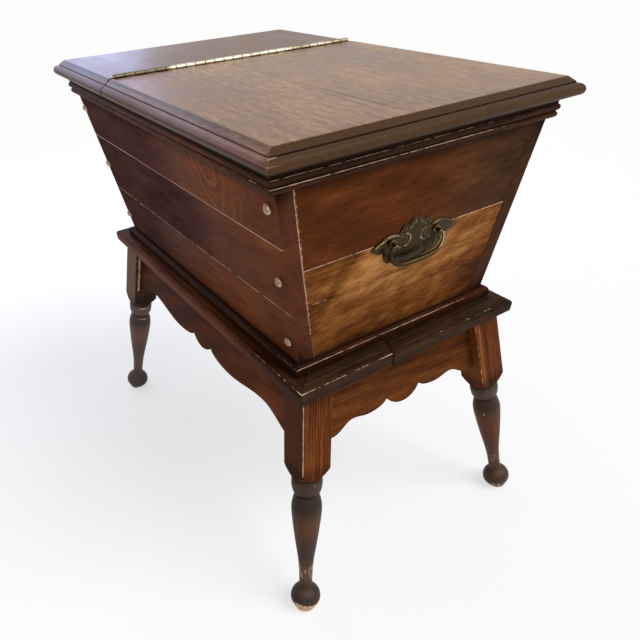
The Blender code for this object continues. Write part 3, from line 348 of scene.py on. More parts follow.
def leg_marks(end, side, side_x, side_y, level, angle, square, seed):
    """Marks of a leg: bells of height at the turned members, fading round from the front, with the left
    and front faces of the block told by how far out they lie, and the block's arrises by their angle."""

    def toward(x, y, low, high):
        """Smooth step of the cosine between a point's direction round the leg and a given one."""
        return ease(np.cos(angle - math.atan2(y, x)), low, high)

    front_right = (end, side) == ("front", "right")
    back = end == "back"
    near = {("front", "left"): 1.0, ("front", "right"): 0.55}.get((end, side), 0.2)
    block = ease(level, BLOCK_FOOT, BLOCK_FOOT + 0.0004)
    turned = 1 - block
    inside_face, at_face = LEG_BLOCK / 2 - 0.002, LEG_BLOCK / 2 - 0.0001
    left_face = ease(-side_x, inside_face, at_face) * block
    front_face = ease(-side_y, inside_face, at_face) * block
    front_side = toward(-0.5, -1, -0.5, 0.8)
    belly = bump_at(level, BELLY_Z, 0.020) * front_side * (0.3 if front_right else 1.0)
    neck = bump_at(level, NECK_Z, 0.018)
    lip = bump_at(level, BEAD_LIP_Z, 0.0014)

    # Bare wood on the arrises, most on the nearest, and on the rings, the foot and the neck, with painted
    # highlights on the rings.
    on_square = (np.hypot(side_x, side_y) > 0.999 * square) * block
    arris = on_square * ease(np.abs(np.sin(2 * angle)), 0.9978, 0.9995)
    rubbed_and_highlight = toward(-1, -1, 0.96, 1) * near
    wear = arris * (0.34 + rubbed_and_highlight * (0.48 + 0.3 * bump_at(level, ARRIS_CHIP_Z, 0.006)))
    # Painted highlights: pale rings on the bead's lip and the vase's top, on the front side, most on the
    # back legs, over wear on the lip all round.
    lit = toward(-0.15, -1, 0.75, 0.98) * (0.66 if back else 0.2)
    ring_wear = 0.36 * lip + lit * (lip + 1.2 * bump_at(level, VASE_TOP_Z, 0.0013))
    wavy = level + 0.0012 * np.sin(3 * angle + seed)
    foot_wear = (0.26 + 0.52 * near) * ease(-wavy, -FOOT_BAND_Z, -0.0122)
    neck_wear = (0.42 + 0.14 * near) * bump_at(level, NECK_Z + 0.002, 0.020)
    below_shoulder = turned * (level < 0.18)
    wear = wear + below_shoulder * (ring_wear + foot_wear + neck_wear)

    # Dirt in the groove and a dark line under the block, painted shade at the block's top under the rails,
    # and darker at the top of the vase; then the stain of block and turning, with painted highlights on
    # the bead and the foot's crown.
    soil = 0.85 * bump_at(level, GROOVE_Z, 0.0018) + 0.6 * bump_at(level, BLOCK_FOOT + 0.0001, 0.0006)
    # Painted shade at the block's top, under the rails; darker too at the top of the vase.
    soil = soil + 0.5 * bump_at(level, LEG_TOP, 0.007) + 0.35 * turned * bump_at(level, 0.148, 0.010)
    second = turned * (1 - 0.4 * belly)
    # Painted highlight: a lighter band round the bead.
    tone = turned * (0.16 * belly + 0.30 * neck - 0.10 + 0.14 * bump_at(level, BEAD_Z, 0.006))
    tone = tone - 0.22 * left_face - 0.06 * front_face
    # Painted highlight on the front of the foot's crown.
    tone = tone + 0.2 * turned * bump_at(level, FOOT_CROWN_Z, 0.004) * toward(-0.5, -1, 0.6, 1)
    tone = tone - 0.22 * block * ease(-level, -0.210, -0.190)

    # What the light and the years have done to one leg and not to another, with a painted highlight on the
    # back left leg's block.
    if front_right:
        stripe = 0.20 * bump_at(side_x, -0.0135, 0.003) - 0.12 * bump_at(side_x, -0.006, 0.004)
        tone = tone + front_face * stripe
        tone = tone + turned * (0.09 - 0.16 * neck) + 0.02 * block
        tone = tone + 0.22 * left_face
        second = second - 0.45 * turned * bump_at(level, 0.100, 0.045)
        wear = wear + 0.44 * turned * bump_at(level, 0.139, 0.006) * front_side
    if back:
        tone = tone + 0.27 * turned - 0.12 * front_face + 0.30 * left_face
        second = np.maximum(second, 0.55 * block)
    # Painted highlight: a pale strip of glare down the back left leg's front face, beside the apron.
    if back and side == "left":
        wear = wear + 0.95 * front_face * bump_at(side_x, -0.0132, 0.0030) * ease(level, 0.205, 0.222)
    figure = 0.28 + (0.72 if side == "left" else 0.45) * block * (1 - 0.6 * left_face)
    return {"tone": tone, "wear": wear, "soil": np.clip(soil, 0, 1), "second": second, "figure": figure,
            "glaze_and_sheen": 0.42 * turned * back}


leg_material = wood("leg_wood", [(48, 22, 9), (84, 42, 18), (112, 60, 26), (158, 98, 50)], (218, 180, 144),
                    others=[(30, 22, 18), (54, 42, 36), (72, 56, 46), (104, 80, 62)],
                    fibre=1.2, rings=0.14, blotch=0.4, ring_width=0.0019, pith=(0.12, 0.16), tilt=0.05,
                    thread=0.0021, glaze_and_sheen=(96, 80, 84), shine=(0.03, 0.12))
legs = [(end, side) for end in ("front", "back") for side in ("left", "right")]
for number, (end, side) in enumerate(legs):
    points, side_x, side_y, level, angle, square = leg_surface(end, side)
    grain = np.stack([level + 0.7 * number, side_x + 0.06 * number, side_y + 0.013], -1)
    marks = leg_marks(end, side, side_x, side_y, level, angle, square, number)
    leg = "leg_" + end + "_" + side
    add_piece(leg + "_turned", points, tube(*level.shape, 1), leg_material, "striped_block", [leg],
              grain=grain, **marks)

# Aprons. Boards with a scalloped lower edge, sawn out and tenoned into the leg blocks. They are stained
# a plain red-brown, the front one lighter than the others, with painted shade under the rails and on
# the underside of the scalloped edge.

APRON_THICKNESS = 0.019
APRON_EASE = 0.0009
APRON_OUT = {"end": 0.23335, "side": 0.13505}
NOTCH_X, NOTCH_Z = 0.0255, 0.2340
BRACKET_Z = 0.2172
FIT_GAP = 0.0003
SCALLOPS = {"end": {"centre_z": 0.2192, "lobe_x": 0.052, "lobe_z": 0.2246, "arch_in": 0.0417,
                    "arch_z": 0.2284, "fall": 0.029},
            "side": {"centre_z": 0.2230, "lobe_x": 0.073, "lobe_z": 0.2228, "arch_in": 0.060,
                     "arch_z": 0.2334, "fall": 0.066}}


def scallop(x, half_length, centre_z, lobe_x, lobe_z, arch_in, arch_z, fall):
    """Height of the lower edge: a round lobe, a notch, a quarter ellipse, then two cosine eases, up
    to an arch and down to the bracket by the leg."""
    rise = NOTCH_Z - centre_z
    round_off = (NOTCH_X ** 2 + rise ** 2) / (2 * rise)
    arch_x = half_length - arch_in
    x = np.abs(x)
    middle = centre_z + round_off - np.sqrt(np.maximum(round_off ** 2 - x ** 2, 0))
    swing = np.arccos(np.clip(1 - (x - NOTCH_X) / (lobe_x - NOTCH_X), -1, 1))
    beside = NOTCH_Z - (NOTCH_Z - lobe_z) * np.sin(swing)
    climb_share = np.clip((x - lobe_x) / (arch_x - lobe_x), 0, 1)
    climb = lobe_z + (arch_z - lobe_z) * (1 - np.cos(np.pi * climb_share)) / 2
    drop_share = np.clip((x - arch_x) / fall, 0, 1)
    drop = arch_z + (BRACKET_Z - arch_z) * (1 - np.cos(np.pi * drop_share)) / 2
    return np.select([x <= NOTCH_X, x <= lobe_x, x <= arch_x], [middle, beside, climb], drop)


def apron_surface(side, shape, half_length, distance, neighbour):
    """A section carried along the apron: down the tilted face, round the scalloped edge and up the
    back. Near the ends each point slides along to the plane of the leg's inner face."""
    normal = OUTWARD[side] + LEG_SPLAY * UP
    normal = normal / np.linalg.norm(normal)
    along = OUTWARD[neighbour]
    lobe_x, arch_x = shape["lobe_x"], half_length - shape["arch_in"]
    swing = np.radians(np.linspace(0, 90, 13))
    half = np.concatenate([np.linspace(0, NOTCH_X, 15), NOTCH_X + (lobe_x - NOTCH_X) * (1 - np.cos(swing)),
                           np.linspace(lobe_x, arch_x, 16), np.linspace(arch_x, half_length, 30)])
    half = np.unique(half.round(7))
    x = np.concatenate([-half[:0:-1], half])
    turn = np.radians([0, 30, 60, 90])
    inner = APRON_THICKNESS
    edge_in, above_edge = 0.003, 0.0028
    share = np.concatenate([[0, 0.02, 0.2, 0.4, 0.6, 0.8, 0.95], np.ones(12), [0.8, 0.4, 0]])
    depth = np.concatenate([np.zeros(8), APRON_EASE * (1 - np.cos(turn)), [edge_in, inner - edge_in],
                            inner - APRON_EASE * (1 - np.cos(turn[::-1])), [inner] * 4])
    lift = np.concatenate([np.zeros(7), [above_edge], APRON_EASE * (1 - np.sin(turn)), [0, 0],
                           APRON_EASE * (1 - np.sin(turn[::-1])), [above_edge], [0] * 3])
    edge = scallop(x, half_length, **shape)[:, None]
    top = LEG_TOP + normal[2] * depth
    face_z = top * (1 - share) + edge * share + lift
    flat = OUTWARD[side] * (distance + LEG_SPLAY * (LEG_TOP - face_z[..., None])) + UP * face_z[..., None]
    flat = flat - normal * depth[None, :, None]
    end, beside = (side, neighbour) if side in ("front", "back") else (neighbour, side)
    origin, (leg_x, leg_y, _) = leg_axes(end, beside)
    inward = -(along[0] * leg_x + along[1] * leg_y)
    stop = inward @ origin + LEG_BLOCK / 2 + FIT_GAP
    reach = (stop - flat @ inward) / (along @ inward)
    share_x = (x / half_length)[:, None]
    place = x[:, None] + np.sign(share_x) * np.abs(share_x) ** 6 * (reach - half_length)
    return flat + place[..., None] * along, place, face_z, edge, share, depth


apron_material = wood("apron_wood", [(44, 21, 8), (78, 41, 17), (94, 52, 23), (120, 74, 38)],
                      (150, 104, 66), others=[(36, 17, 10), (62, 30, 16), (82, 40, 21), (106, 58, 34)],
                      fibre=0.7, rings=0.15, blotch=0.55, mottle=0.4, ring_width=0.009,
                      curl=(0.04, 0.013, 0.02), slant=0.2)
for number, side in enumerate(OUTWARD):
    kind, neighbour, foot = "end", "right", FOOT_X
    if side in ("left", "right"):
        kind, neighbour, foot = "side", "back", FOOT_Y
    half_length = foot - LEG_SPLAY * BRACKET_Z - LEG_BLOCK / 2
    points, place, face_z, edge, share, depth = apron_surface(side, SCALLOPS[kind], half_length,
                                                              APRON_OUT[kind], neighbour)
    at_edge = (share == 1) * np.ones_like(face_z)
    arris = at_edge * (np.minimum(depth, APRON_THICKNESS - depth) < 0.001) * (face_z - edge < 0.002)
    # Painted shade: dark at the top under the rails and on the underside of the scalloped edge.
    soil = 0.8 * ease(face_z, LEG_TOP - 0.016, LEG_TOP - 0.004) + 0.30 * at_edge * (depth > 0.002)
    tone = -0.08 * ease(face_z, 0.262, 0.285) + 0.05 * bump_at(face_z, 0.238, 0.02)
    if side == "left":
        tone = tone + 0.12 * ease(-place, -0.05, 0.2) - 0.06
    grain = np.stack([place + 1.3 + 0.9 * number, face_z - 0.25, 0.01 - depth + 0 * face_z], -1)
    slot, second = ("gold_brown", 0.0) if side == "front" else ("red_brown", 1.0)
    add_piece("apron_" + side + "_board", points, tube(*face_z.shape, 2), apron_material, slot,
              ["apron_" + side], sharp=50, grain=grain, tone=tone, wear=0.34 * arris,
              soil=np.clip(soil, 0, 1), second=second)

# Stand rails. A flat frame of nearly black moulded rails, mitred at the corners and nailed down on the
# legs and aprons, with the front one pieced at a slant. Hands have rubbed the upper arris pale.

STAND_Z = 0.309
STAND_HALF = {"front": 0.25875, "back": 0.25875, "left": 0.155, "right": 0.155}
RAIL_WIDTH, RAIL_FOOT, RAIL_NOSE_FOOT = 0.064, 0.288, 0.294
RAIL_ARRIS = 0.0054
COVE_DEEP, COVE_HIGH, COVE_STEP = 0.0078, 0.0060, 0.0008
JOINT_X, JOINT_SKEW = -0.0346, 0.47


def next_side(side):
    """A side that meets the given one at a corner."""
    return "left" if side in ("front", "back") else "front"


def carried(section, side, low, high, steps):
    """A closed section of (distance out, height), carried straight along a side between two ends
    that each section point has for itself, so that the ends may be mitred or slanted."""
    along = np.abs(np.cross(UP, OUTWARD[side]))
    place = low + (high - low) * np.linspace(0, 1, steps)[:, None]
    points = OUTWARD[side] * section[None, :, :1] + UP * section[None, :, 1:] + along * place[..., None]
    return points, tube(steps, len(section), 2), place


def rail_section(nose):
    """Flat top, a quarter round at the upper arris, a nearly upright nose, a cove and the underside,
    with the pale and dark marks of each point; the dark is painted shade next to the box, down the
    cove under the nose and on the underside."""
    degrees = np.array([90, 80, 70, 63, 57, 51, 45, 36, 24, 12, 0])
    turn = np.radians(degrees)
    rounding = np.column_stack([nose - RAIL_ARRIS + RAIL_ARRIS * np.cos(turn),
                                STAND_Z - RAIL_ARRIS + RAIL_ARRIS * np.sin(turn)])
    dip = np.radians(np.linspace(0, 90, 9))
    cove = np.column_stack([nose - COVE_DEEP * np.sin(dip) - COVE_STEP * np.cos(dip),
                            RAIL_NOSE_FOOT - COVE_HIGH * (1 - np.cos(dip))])
    behind_nose = np.array([RAIL_WIDTH, 0.034, 0.024, 0.012, 0.0065])
    flat = np.column_stack([nose - behind_nose, np.full(len(behind_nose), STAND_Z)])
    section = np.vstack([flat, rounding, cove, [[nose - RAIL_WIDTH, RAIL_FOOT]]])
    wear = np.concatenate([np.zeros(5), 1.16 * bump_at(degrees, 60, 4), np.zeros(10)])
    # Painted shade: dark on the flat next to the box, darkening down the cove under the nose, and on the
    # underside.
    soil = np.concatenate([[0.9, 0.9, 0.6, 0.05, 0], np.zeros(11), np.linspace(0.1, 0.7, 9), [0.6]])
    return section, wear, soil


edge_material = wood("dark_edge_wood", [(22, 15, 10), (44, 31, 22), (60, 42, 30), (88, 64, 46)],
                     (212, 180, 150), others=[(34, 15, 8), (60, 29, 14), (80, 42, 21), (108, 64, 38)],
                     fibre=0.8, rings=0.1, blotch=0.6, mottle=0.2, shine=(0.02, 0.02))
rails = [(side, "") for side in ("back", "left", "right")] + [("front", "_left"), ("front", "_right")]
for number, (side, suffix) in enumerate(rails):
    nose = STAND_HALF[side]
    section, wear, soil = rail_section(nose)
    behind_nose = nose - section[:, 0]
    reach = STAND_HALF[next_side(side)] - behind_nose - FIT_GAP / 2
    joint = JOINT_X + JOINT_SKEW * behind_nose
    low = joint + FIT_GAP if suffix == "_right" else -reach
    high = joint - FIT_GAP if suffix == "_left" else reach
    points, faces, place = carried(section, side, low, high, 60)
    worn_and_highlight = wear * (0.95 + 0.10 * np.sin(place * 41 + number))
    tone = 0.05 * np.sin(place * 9 + number)
    second = 0.1
    if side == "front":
        soil = soil + 0.9 * np.exp(-np.abs(place - joint) / 0.0012)
        worn_and_highlight = worn_and_highlight * (1.0 if suffix == "_left" else 0.62)
        tone = tone + 0.08 * ease(section[:, 1], STAND_Z - 0.0005, STAND_Z)
    if side == "left":
        worn_and_highlight = worn_and_highlight * (0.55 + 0.4 * ease(-place, 0.05, 0.22))
        tone = tone + 0.17 - 0.22 * ease(-place, 0.06, 0.22)
        second = 1.0 - 0.7 * ease(-place, 0.195, 0.245)
    corner = np.minimum(np.abs(place + reach), np.abs(place - reach))
    worn_and_highlight = worn_and_highlight + 0.30 * np.exp(-corner / 0.003) * (section[:, 1] > 0.300) * (behind_nose < 0.01)
    grain = np.stack([place + 0.8 * number, section[:, 0] + 0 * place, section[:, 1] + 0 * place], -1)
    rail = "stand_rail_" + side + suffix
    add_piece(rail + "_moulded", points, faces, edge_material, "dark_edge", [rail], grain=grain, tone=tone,
              wear=worn_and_highlight, soil=np.clip(soil, 0, 1), second=second)

# Box walls. Three boards edge to edge in each leaning wall, the long side walls running past the ends
# of the front and back ones. Outside they are stained red-brown, the lower front boards golden, and
# inside they are bare softwood. Pale filler shows in the seams, and along the side boards' front ends.

BOX_FOOT, BOX_RIM = 0.3093, 0.5412
WALL_FOOT = {"front": 0.22325, "back": 0.22325, "left": 0.1325, "right": 0.1325}
WALL_SLOPE = {"front": 0.13411, "back": 0.13411, "left": 0.16602, "right": 0.16602}
WALL_SEAMS = {"end": (0.39093, 0.43313), "side": (0.38652, 0.46351)}
WALL_LEVELS = {kind: (BOX_FOOT, *seams, BOX_RIM) for kind, seams in WALL_SEAMS.items()}
BOARD_NAMES = ("lower", "middle", "upper")
BOARD_THICKNESS = 0.019
BOARD_EASE = 0.0005
BOARD_BAND = 0.0022
KNOT_Y = -0.12
PURPLE_TURN = {"upper": (-0.10, 0.06), "middle": (-0.17, -0.01), "lower": (-0.04, 0.14)}
GLOW_X, GLOW_Z = -0.012, 0.402
FIGURE_X, FIGURE_Z, FIGURE_SLANT = -0.0885, 0.393, 0.76
SHADE_X, SHADE_Z, SHADE_SLANT = -0.054, 0.3555, 0.35
# Middle of the painted shadow of the pull on the golden board.
PULL_SHADOW_X, PULL_SHADOW_Z = 0.026, 0.409


def wall_distance(side, z):
    """How far a wall's outer face stands from the middle at a height."""
    return WALL_FOOT[side] + WALL_SLOPE[side] * (z - BOX_FOOT)


def wall_axes(side):
    """Unit directions along a wall, up its slope and straight out of its face."""
    lean = math.atan(WALL_SLOPE[side])
    upward = np.array([*(OUTWARD[side][:2] * math.sin(lean)), math.cos(lean)])
    normal = OUTWARD[side] * math.cos(lean) - UP * math.sin(lean)
    return np.abs(np.cross(UP, OUTWARD[side])), upward, normal


def board_net(rows, columns, rings):
    """The loop of points round a grid, and the faces of an upper and a lower grid with rings between."""
    index = np.arange(rows * columns).reshape(rows, columns)
    loop = np.concatenate([index[:, 0], index[-1, 1:], index[-2::-1, -1], index[0, -2:0:-1]])
    under = index.size + rings * len(loop)
    loops = np.vstack([loop, np.arange(index.size, under).reshape(rings, len(loop)), loop + under])
    following = np.roll(loops, -1, axis=1)
    band = np.stack([loops[:-1], following[:-1], following[1:], loops[1:]], -1).reshape(-1, 4)
    grid = net(rows, columns)
    return loop, np.vstack([grid, band, grid[:, ::-1] + under]).tolist()


def eased_board(place, shares, thickness, rounding):
    """Front and back grids joined round the edge, where inset and depth follow quarter circles.

    place(s, t, inset, depth) gives the point at shares s and t of the length and width, an inset
    from the edges and a depth behind the face. The shares and depth of each point come back as well.
    """
    turn = np.radians([0, 30, 60, 90])
    inset = np.concatenate([rounding * (1 - np.sin(turn)), [0, 0], rounding * (1 - np.sin(turn[::-1]))])
    depth = rounding * (1 - np.cos(turn))
    depth = np.concatenate([depth, [BOARD_BAND, thickness - BOARD_BAND], thickness - depth[::-1]])
    s, t = [part.ravel() for part in np.meshgrid(*shares, indexing="ij")]
    loop, faces = board_net(len(shares[0]), len(shares[1]), len(inset) - 2)
    layers = [(s, t, inset[0], depth[0])]
    layers += [(s[loop], t[loop], in_by, down) for in_by, down in zip(inset[1:-1], depth[1:-1])]
    layers += [(s, t, inset[-1], depth[-1])]
    points = np.vstack([place(*layer) for layer in layers])
    info = np.vstack([np.column_stack([a, b, np.full(len(a), down)]) for a, b, _, down in layers])
    return points, faces, info


def spread(count, length, near=0.0008):
    """Shares along a length: even steps, with one more close to each end."""
    even = np.linspace(0, 1, count)
    return np.concatenate([[0, near / length], even[1:-1], [1 - near / length, 1]])


def wall_board(side, low, high):
    """A board of a leaning wall: level at the foot and the rim, square to the face at its seams,
    and ended by the planes of the two walls that it meets."""
    lean = math.atan(WALL_SLOPE[side])
    along, upward, normal = wall_axes(side)
    base = OUTWARD[side] * WALL_FOOT[side] + UP * BOX_FOOT
    other = next_side(side)
    back_off = 0.0
    if side in ("front", "back"):
        back_off = (BOARD_THICKNESS + FIT_GAP) * math.sqrt(1 + WALL_SLOPE[other] ** 2)

    def place(s, t, inset, depth):
        """A point between the board's foot and head, and between the two walls at its height."""
        foot = (low - BOX_FOOT) / math.cos(lean) + FIT_GAP / 2
        head = (high - BOX_FOOT) / math.cos(lean) - FIT_GAP / 2
        if low == BOX_FOOT:
            foot = -depth * math.tan(lean)
        if high == BOX_RIM:
            head = (high - BOX_FOOT - depth * math.sin(lean)) / math.cos(lean)
        up = foot + inset + t * (head - foot - 2 * inset)
        z = BOX_FOOT + up * math.cos(lean) + depth * math.sin(lean)
        half = wall_distance(other, z) - back_off - inset
        run = (2 * s - 1) * half
        return base + along * run[:, None] + upward * up[:, None] - normal * depth

    run = 2 * wall_distance(other, (low + high) / 2)
    return eased_board(place, [spread(64, run), spread(18, high - low)], BOARD_THICKNESS, BOARD_EASE)


def left_stain(board, along):
    """Tone, purple share and swirl of a left board: red near the front, with a knot in the upper board,
    and smooth steps over to purple towards the back."""
    knot = bump_at(along, KNOT_Y, 0.06)
    second = ease(along, *PURPLE_TURN[board])
    tone = 0.04 - 0.04 * ease(along, KNOT_Y, 0.0)
    if board == "middle":
        tone = tone - 0.10 * bump_at(along, 0.02, 0.06)
    if board == "upper":
        tone = tone + 0.06 * knot + 0.08 * ease(along, 0.06, 0.16)
    return tone, second, 0.34 * knot


def front_stain(board, along, z):
    """Tone and brown share of a front board, from bells and smooth steps. The golden boards have a glow
    under the pull, a dark figure that slants up from the left, and shade below and to the right. The
    upper board darkens to the right."""
    if board == "upper":
        glow = bump_at(along, 0.03, 0.05) * bump_at(z, 0.435, 0.03)
        return 0.10 * glow - 0.15 * ease(along, 0.03, 0.13), ease(along, 0.0, 0.13)
    glow = bump_at(along, GLOW_X, 0.075) * bump_at(z, GLOW_Z, 0.036)
    tone = 0.12 * glow - 0.40 * ease(along, 0.03, 0.13) * ease(-z, -0.405, -0.35)
    tone = tone - 0.10 * ease(-z, -0.370, -0.318) + 0.08 * bump_at(along, 0.09, 0.03)
    figured = along - FIGURE_X - FIGURE_SLANT * (z - FIGURE_Z)
    tone = tone - 0.19 * ease(-figured, -0.004, 0.012) * ease(z, 0.345, 0.385)
    tone = tone + 0.08 * bump_at(figured, 0.032, 0.022)
    shade_top = SHADE_Z + SHADE_SLANT * (along - SHADE_X)
    shaded = ease(shade_top - z, -0.004, 0.016) * ease(-along, -0.04, 0.02)
    tone = tone - 0.07 * shaded + 0.05 * bump_at(along, 0.07, 0.03) * bump_at(z, 0.385, 0.02)
    return tone, np.zeros(len(along))


red_tones = [(44, 21, 11), (78, 40, 21), (100, 52, 27), (130, 76, 43)]
purple_tones = [(40, 25, 24), (62, 41, 39), (76, 51, 47), (97, 67, 61)]
filler = (208, 168, 144)
red_material = wood("red_wood", red_tones, filler, others=purple_tones, fibre=0.42, rings=0.06,
                    blotch=0.55, mottle=0.4, ring_width=0.009, curl=(0.05, 0.018, 0.02), slant=-0.2,
                    shine=(0.015, 0.0))
swirl_material = wood("swirling_red_wood", red_tones, filler, others=purple_tones, fibre=0.4, rings=0.05,
                      blotch=0.5, mottle=0.35, ring_width=0.009, swirl=(4.535, 0.035, 0.0),
                      shine=(0.015, 0.0))
deep_material = wood("deep_red_wood", [(44, 20, 8), (72, 36, 15), (90, 47, 20), (118, 68, 34)], filler,
                     others=[(40, 22, 12), (66, 43, 27), (78, 53, 35), (104, 74, 50)], fibre=0.4,
                     rings=0.10, blotch=0.6, mottle=0.45, ring_width=0.010, curl=(0.045, 0.014, 0.02),
                     slant=0.35)
gold_material = wood("golden_wood", [(64, 32, 11), (104, 61, 27), (134, 86, 43), (176, 124, 74)], filler,
                     fibre=0.45, rings=0.08, blotch=0.7, mottle=0.8, ring_width=0.009,
                     curl=(0.028, 0.013, 0.02), slant=0.42)
boards = [(number, side, step) for number, side in enumerate(OUTWARD)
          for step in range(len(BOARD_NAMES))]
for number, side, step in boards:
    lengthways = side in ("left", "right")
    board = BOARD_NAMES[step]
    low, high = WALL_LEVELS["side" if lengthways else "end"][step:step + 2]
    points, faces, info = wall_board(side, low, high)
    s, t, depth = info.T
    along, z = points[:, 1 if lengthways else 0], points[:, 2]
    face, inside = depth < 0.0012, depth > BOARD_THICKNESS - 0.0001
    end_grain = ((s == 0) | (s == 1)) & ~face & ~inside
    seam = (t == 1) * face * (board != "upper")
    wear = 0.40 * seam + 0.24 * face * ((s == 0) | (s == 1)) * (board != "upper")
    # Painted shade at the top, under the rim moulding; darker as well at the foot, above the shoe.
    soil = 0.6 * ease(z, 0.503, 0.519) + 0.5 * ease(-z, -0.332, -0.318)
    soil = soil + 0.45 * ((t == 0) * face * (board != "lower"))
    tone, second, swirl = np.zeros(len(points)), np.zeros(len(points)), 0.0
    material, slot = red_material, "red_brown"
    if side == "left":
        material = swirl_material if board == "upper" else red_material
        tone, second, swirl = left_stain(board, along)
        swirl = swirl * face
        inner_edge = (s == 0) * (depth > BOARD_THICKNESS - 0.0012)
        wear = wear + (0.62 if board == "middle" else 0.30) * seam
        wear = wear + inner_edge * (0.72 + 0.33 * bump_at(z, 0.455, 0.06)) * ease(z, 0.318, 0.36)
        soil = soil + 0.35 * face * ease(-z, -0.372, -0.335) * ease(-along, 0.12, 0.21)
    if side == "right":
        material = deep_material
        tone = np.where(end_grain & (s == 0), 0.06 * ease(-z, -0.42, -0.38) - 0.15, tone)
    if lengthways:
        tone = np.where(end_grain, tone - 0.03, tone)
        second = np.where(end_grain, 0.35 if side == "left" else 0.9, second)
        corner = ease(z, 0.470, 0.512) + 1.3 * ease(-z, -0.362, -0.326)
        soil = soil + 0.6 * end_grain * corner * ease(-depth, -0.016, -0.002)
    if side == "front":
        material, slot = gold_material, "gold_brown"
        if board == "upper":
            material, slot = deep_material, "red_brown"
        tone, second = front_stain(board, along, z)
        wear = wear + seam * (0.36 if board == "middle" else 0.42 * ease(-along, 0.078, 0.098) - 0.3)
        left_end = 0.58 if board == "upper" else 0.34
        wear = wear + face * (left_end * (s == 0) + 0.3 * (s == 1) * bump_at(z, 0.35, 0.02))
        soil = np.where(t == 0, soil - 0.35 * (board == "middle"), soil)
        # Painted shadow of the pull and its bail: a dark patch below and to the right of the plate.
        pull_shadow = np.hypot((along - PULL_SHADOW_X) / 0.015, (z - PULL_SHADOW_Z) / 0.011)
        soil = soil + 0.75 * face * ease(-pull_shadow, -1.3, -0.5)
    wear = np.where(inside & (s > 0) & (s < 1), 1.2, wear)
    soil = np.where(inside, 0.35 * ease(-z, -0.345, -0.322), soil)
    grain = np.column_stack([along + 0.63 * number + 1.7 * step, z - (low + high) / 2, 0.03 - depth])
    node = side + "_board_" + board
    add_piece(node + "_eased", points, faces, material, slot, [node], grain=grain, tone=tone,
              wear=np.clip(wear, 0, 1.2), soil=np.clip(soil, 0, 1), second=second, swirl=swirl,
              figure=np.where(end_grain, 0.8, 1.0))

# Floor of the box. One softwood board let in between the walls, its edges bevelled to their lean. It
# was never stained, and it is a little dirty along the walls.

FLOOR_TOP = 0.3213
FLOOR_STEPS_X, FLOOR_STEPS_Y = spread(20, 0.23), spread(30, 0.41)


def floor_place(s, t, inset, depth):
    """A point of the floor: the half length and half width grow with height along the walls' lean."""
    z = FLOOR_TOP - depth

    def half(side):
        """Half the room between two facing walls at this height, less their thickness."""
        wall = (BOARD_THICKNESS + FIT_GAP) * math.sqrt(1 + WALL_SLOPE[side] ** 2)
        return wall_distance(side, z) - wall - inset

    return np.column_stack([(2 * s - 1) * half("left"), (2 * t - 1) * half("front"), np.full(len(s), z)])


points, faces, info = eased_board(floor_place, [FLOOR_STEPS_X, FLOOR_STEPS_Y], FLOOR_TOP - BOX_FOOT,
                                  BOARD_EASE)
near_end, near_side = np.abs(2 * info[:, 1] - 1), np.abs(2 * info[:, 0] - 1)
dirty = np.maximum(ease(near_side, 0.9, 1), ease(near_end, 0.94, 1))
pine_material = wood("inside_pine_wood", [(120, 86, 52), (150, 112, 72), (172, 134, 92), (192, 156, 112)],
                     (205, 170, 126), fibre=0.8, rings=0.4, blotch=0.4, ring_width=0.011)
add_piece("box_floor_board", points, faces, pine_material, "inside_pine", ["box_floor"],
          grain=points[:, [1, 0, 2]] + [0.4, 0.02, -0.29], tone=0.0, wear=0.0, soil=0.45 * dirty)

# Pegs. Whittled hardwood pins driven through the side walls into the end boards, their heads left as
# rough domes of bare tan wood, dark at the foot where polish has gathered, with a painted highlight:
# a pale crescent on the front of each rim.

PEG_RADIUS, PEG_HEIGHT, PEG_INSET = 0.0055, 0.0046, 0.0115
PEG_SHARE = 0.485
PEG_ROUND = 36
peg_material = wood("peg_wood", [(60, 38, 22), (124, 84, 50), (160, 114, 70), (200, 160, 112)],
                    (236, 214, 184), fibre=0.6, rings=0.2, blotch=0.5, mottle=0.7, ring_width=0.002,
                    curl=(0.004, 0.004, 0.004), gloss=(0.25, 0.4), shine=(0.3, 0.3))


def peg_surface(side, end, z, seed):
    """A dome by angle round it and angle down from its crown, its rim a little out of round, closed
    underneath by a shrunken ring on the wall."""
    base = OUTWARD[side] * wall_distance(side, z) + UP * z
    base = base + OUTWARD[end] * (wall_distance(end, z) - PEG_INSET)
    turn = 2 * np.pi * np.arange(PEG_ROUND) / PEG_ROUND
    fall = np.radians(np.linspace(0, 90, 11))[:, None]
    wobble = 1 + 0.035 * np.cos(3 * turn + seed) + 0.025 * np.cos(5 * turn + 2.3 * seed)
    flat = 1 + 0.06 * np.cos(2 * turn + seed) * np.sin(fall)
    radius = PEG_RADIUS * 0.965 * np.sin(fall) * wobble * flat / 1.06
    height = FIT_GAP + PEG_HEIGHT * np.cos(fall) ** 0.8 + 0 * turn
    radius = np.vstack([radius, np.zeros((1, PEG_ROUND))])
    height = np.vstack([height, np.full((1, PEG_ROUND), FIT_GAP)])
    x, y = radius * np.cos(turn), radius * np.sin(turn)
    return set_out(base, wall_axes(side), x, y, height), x, y, height


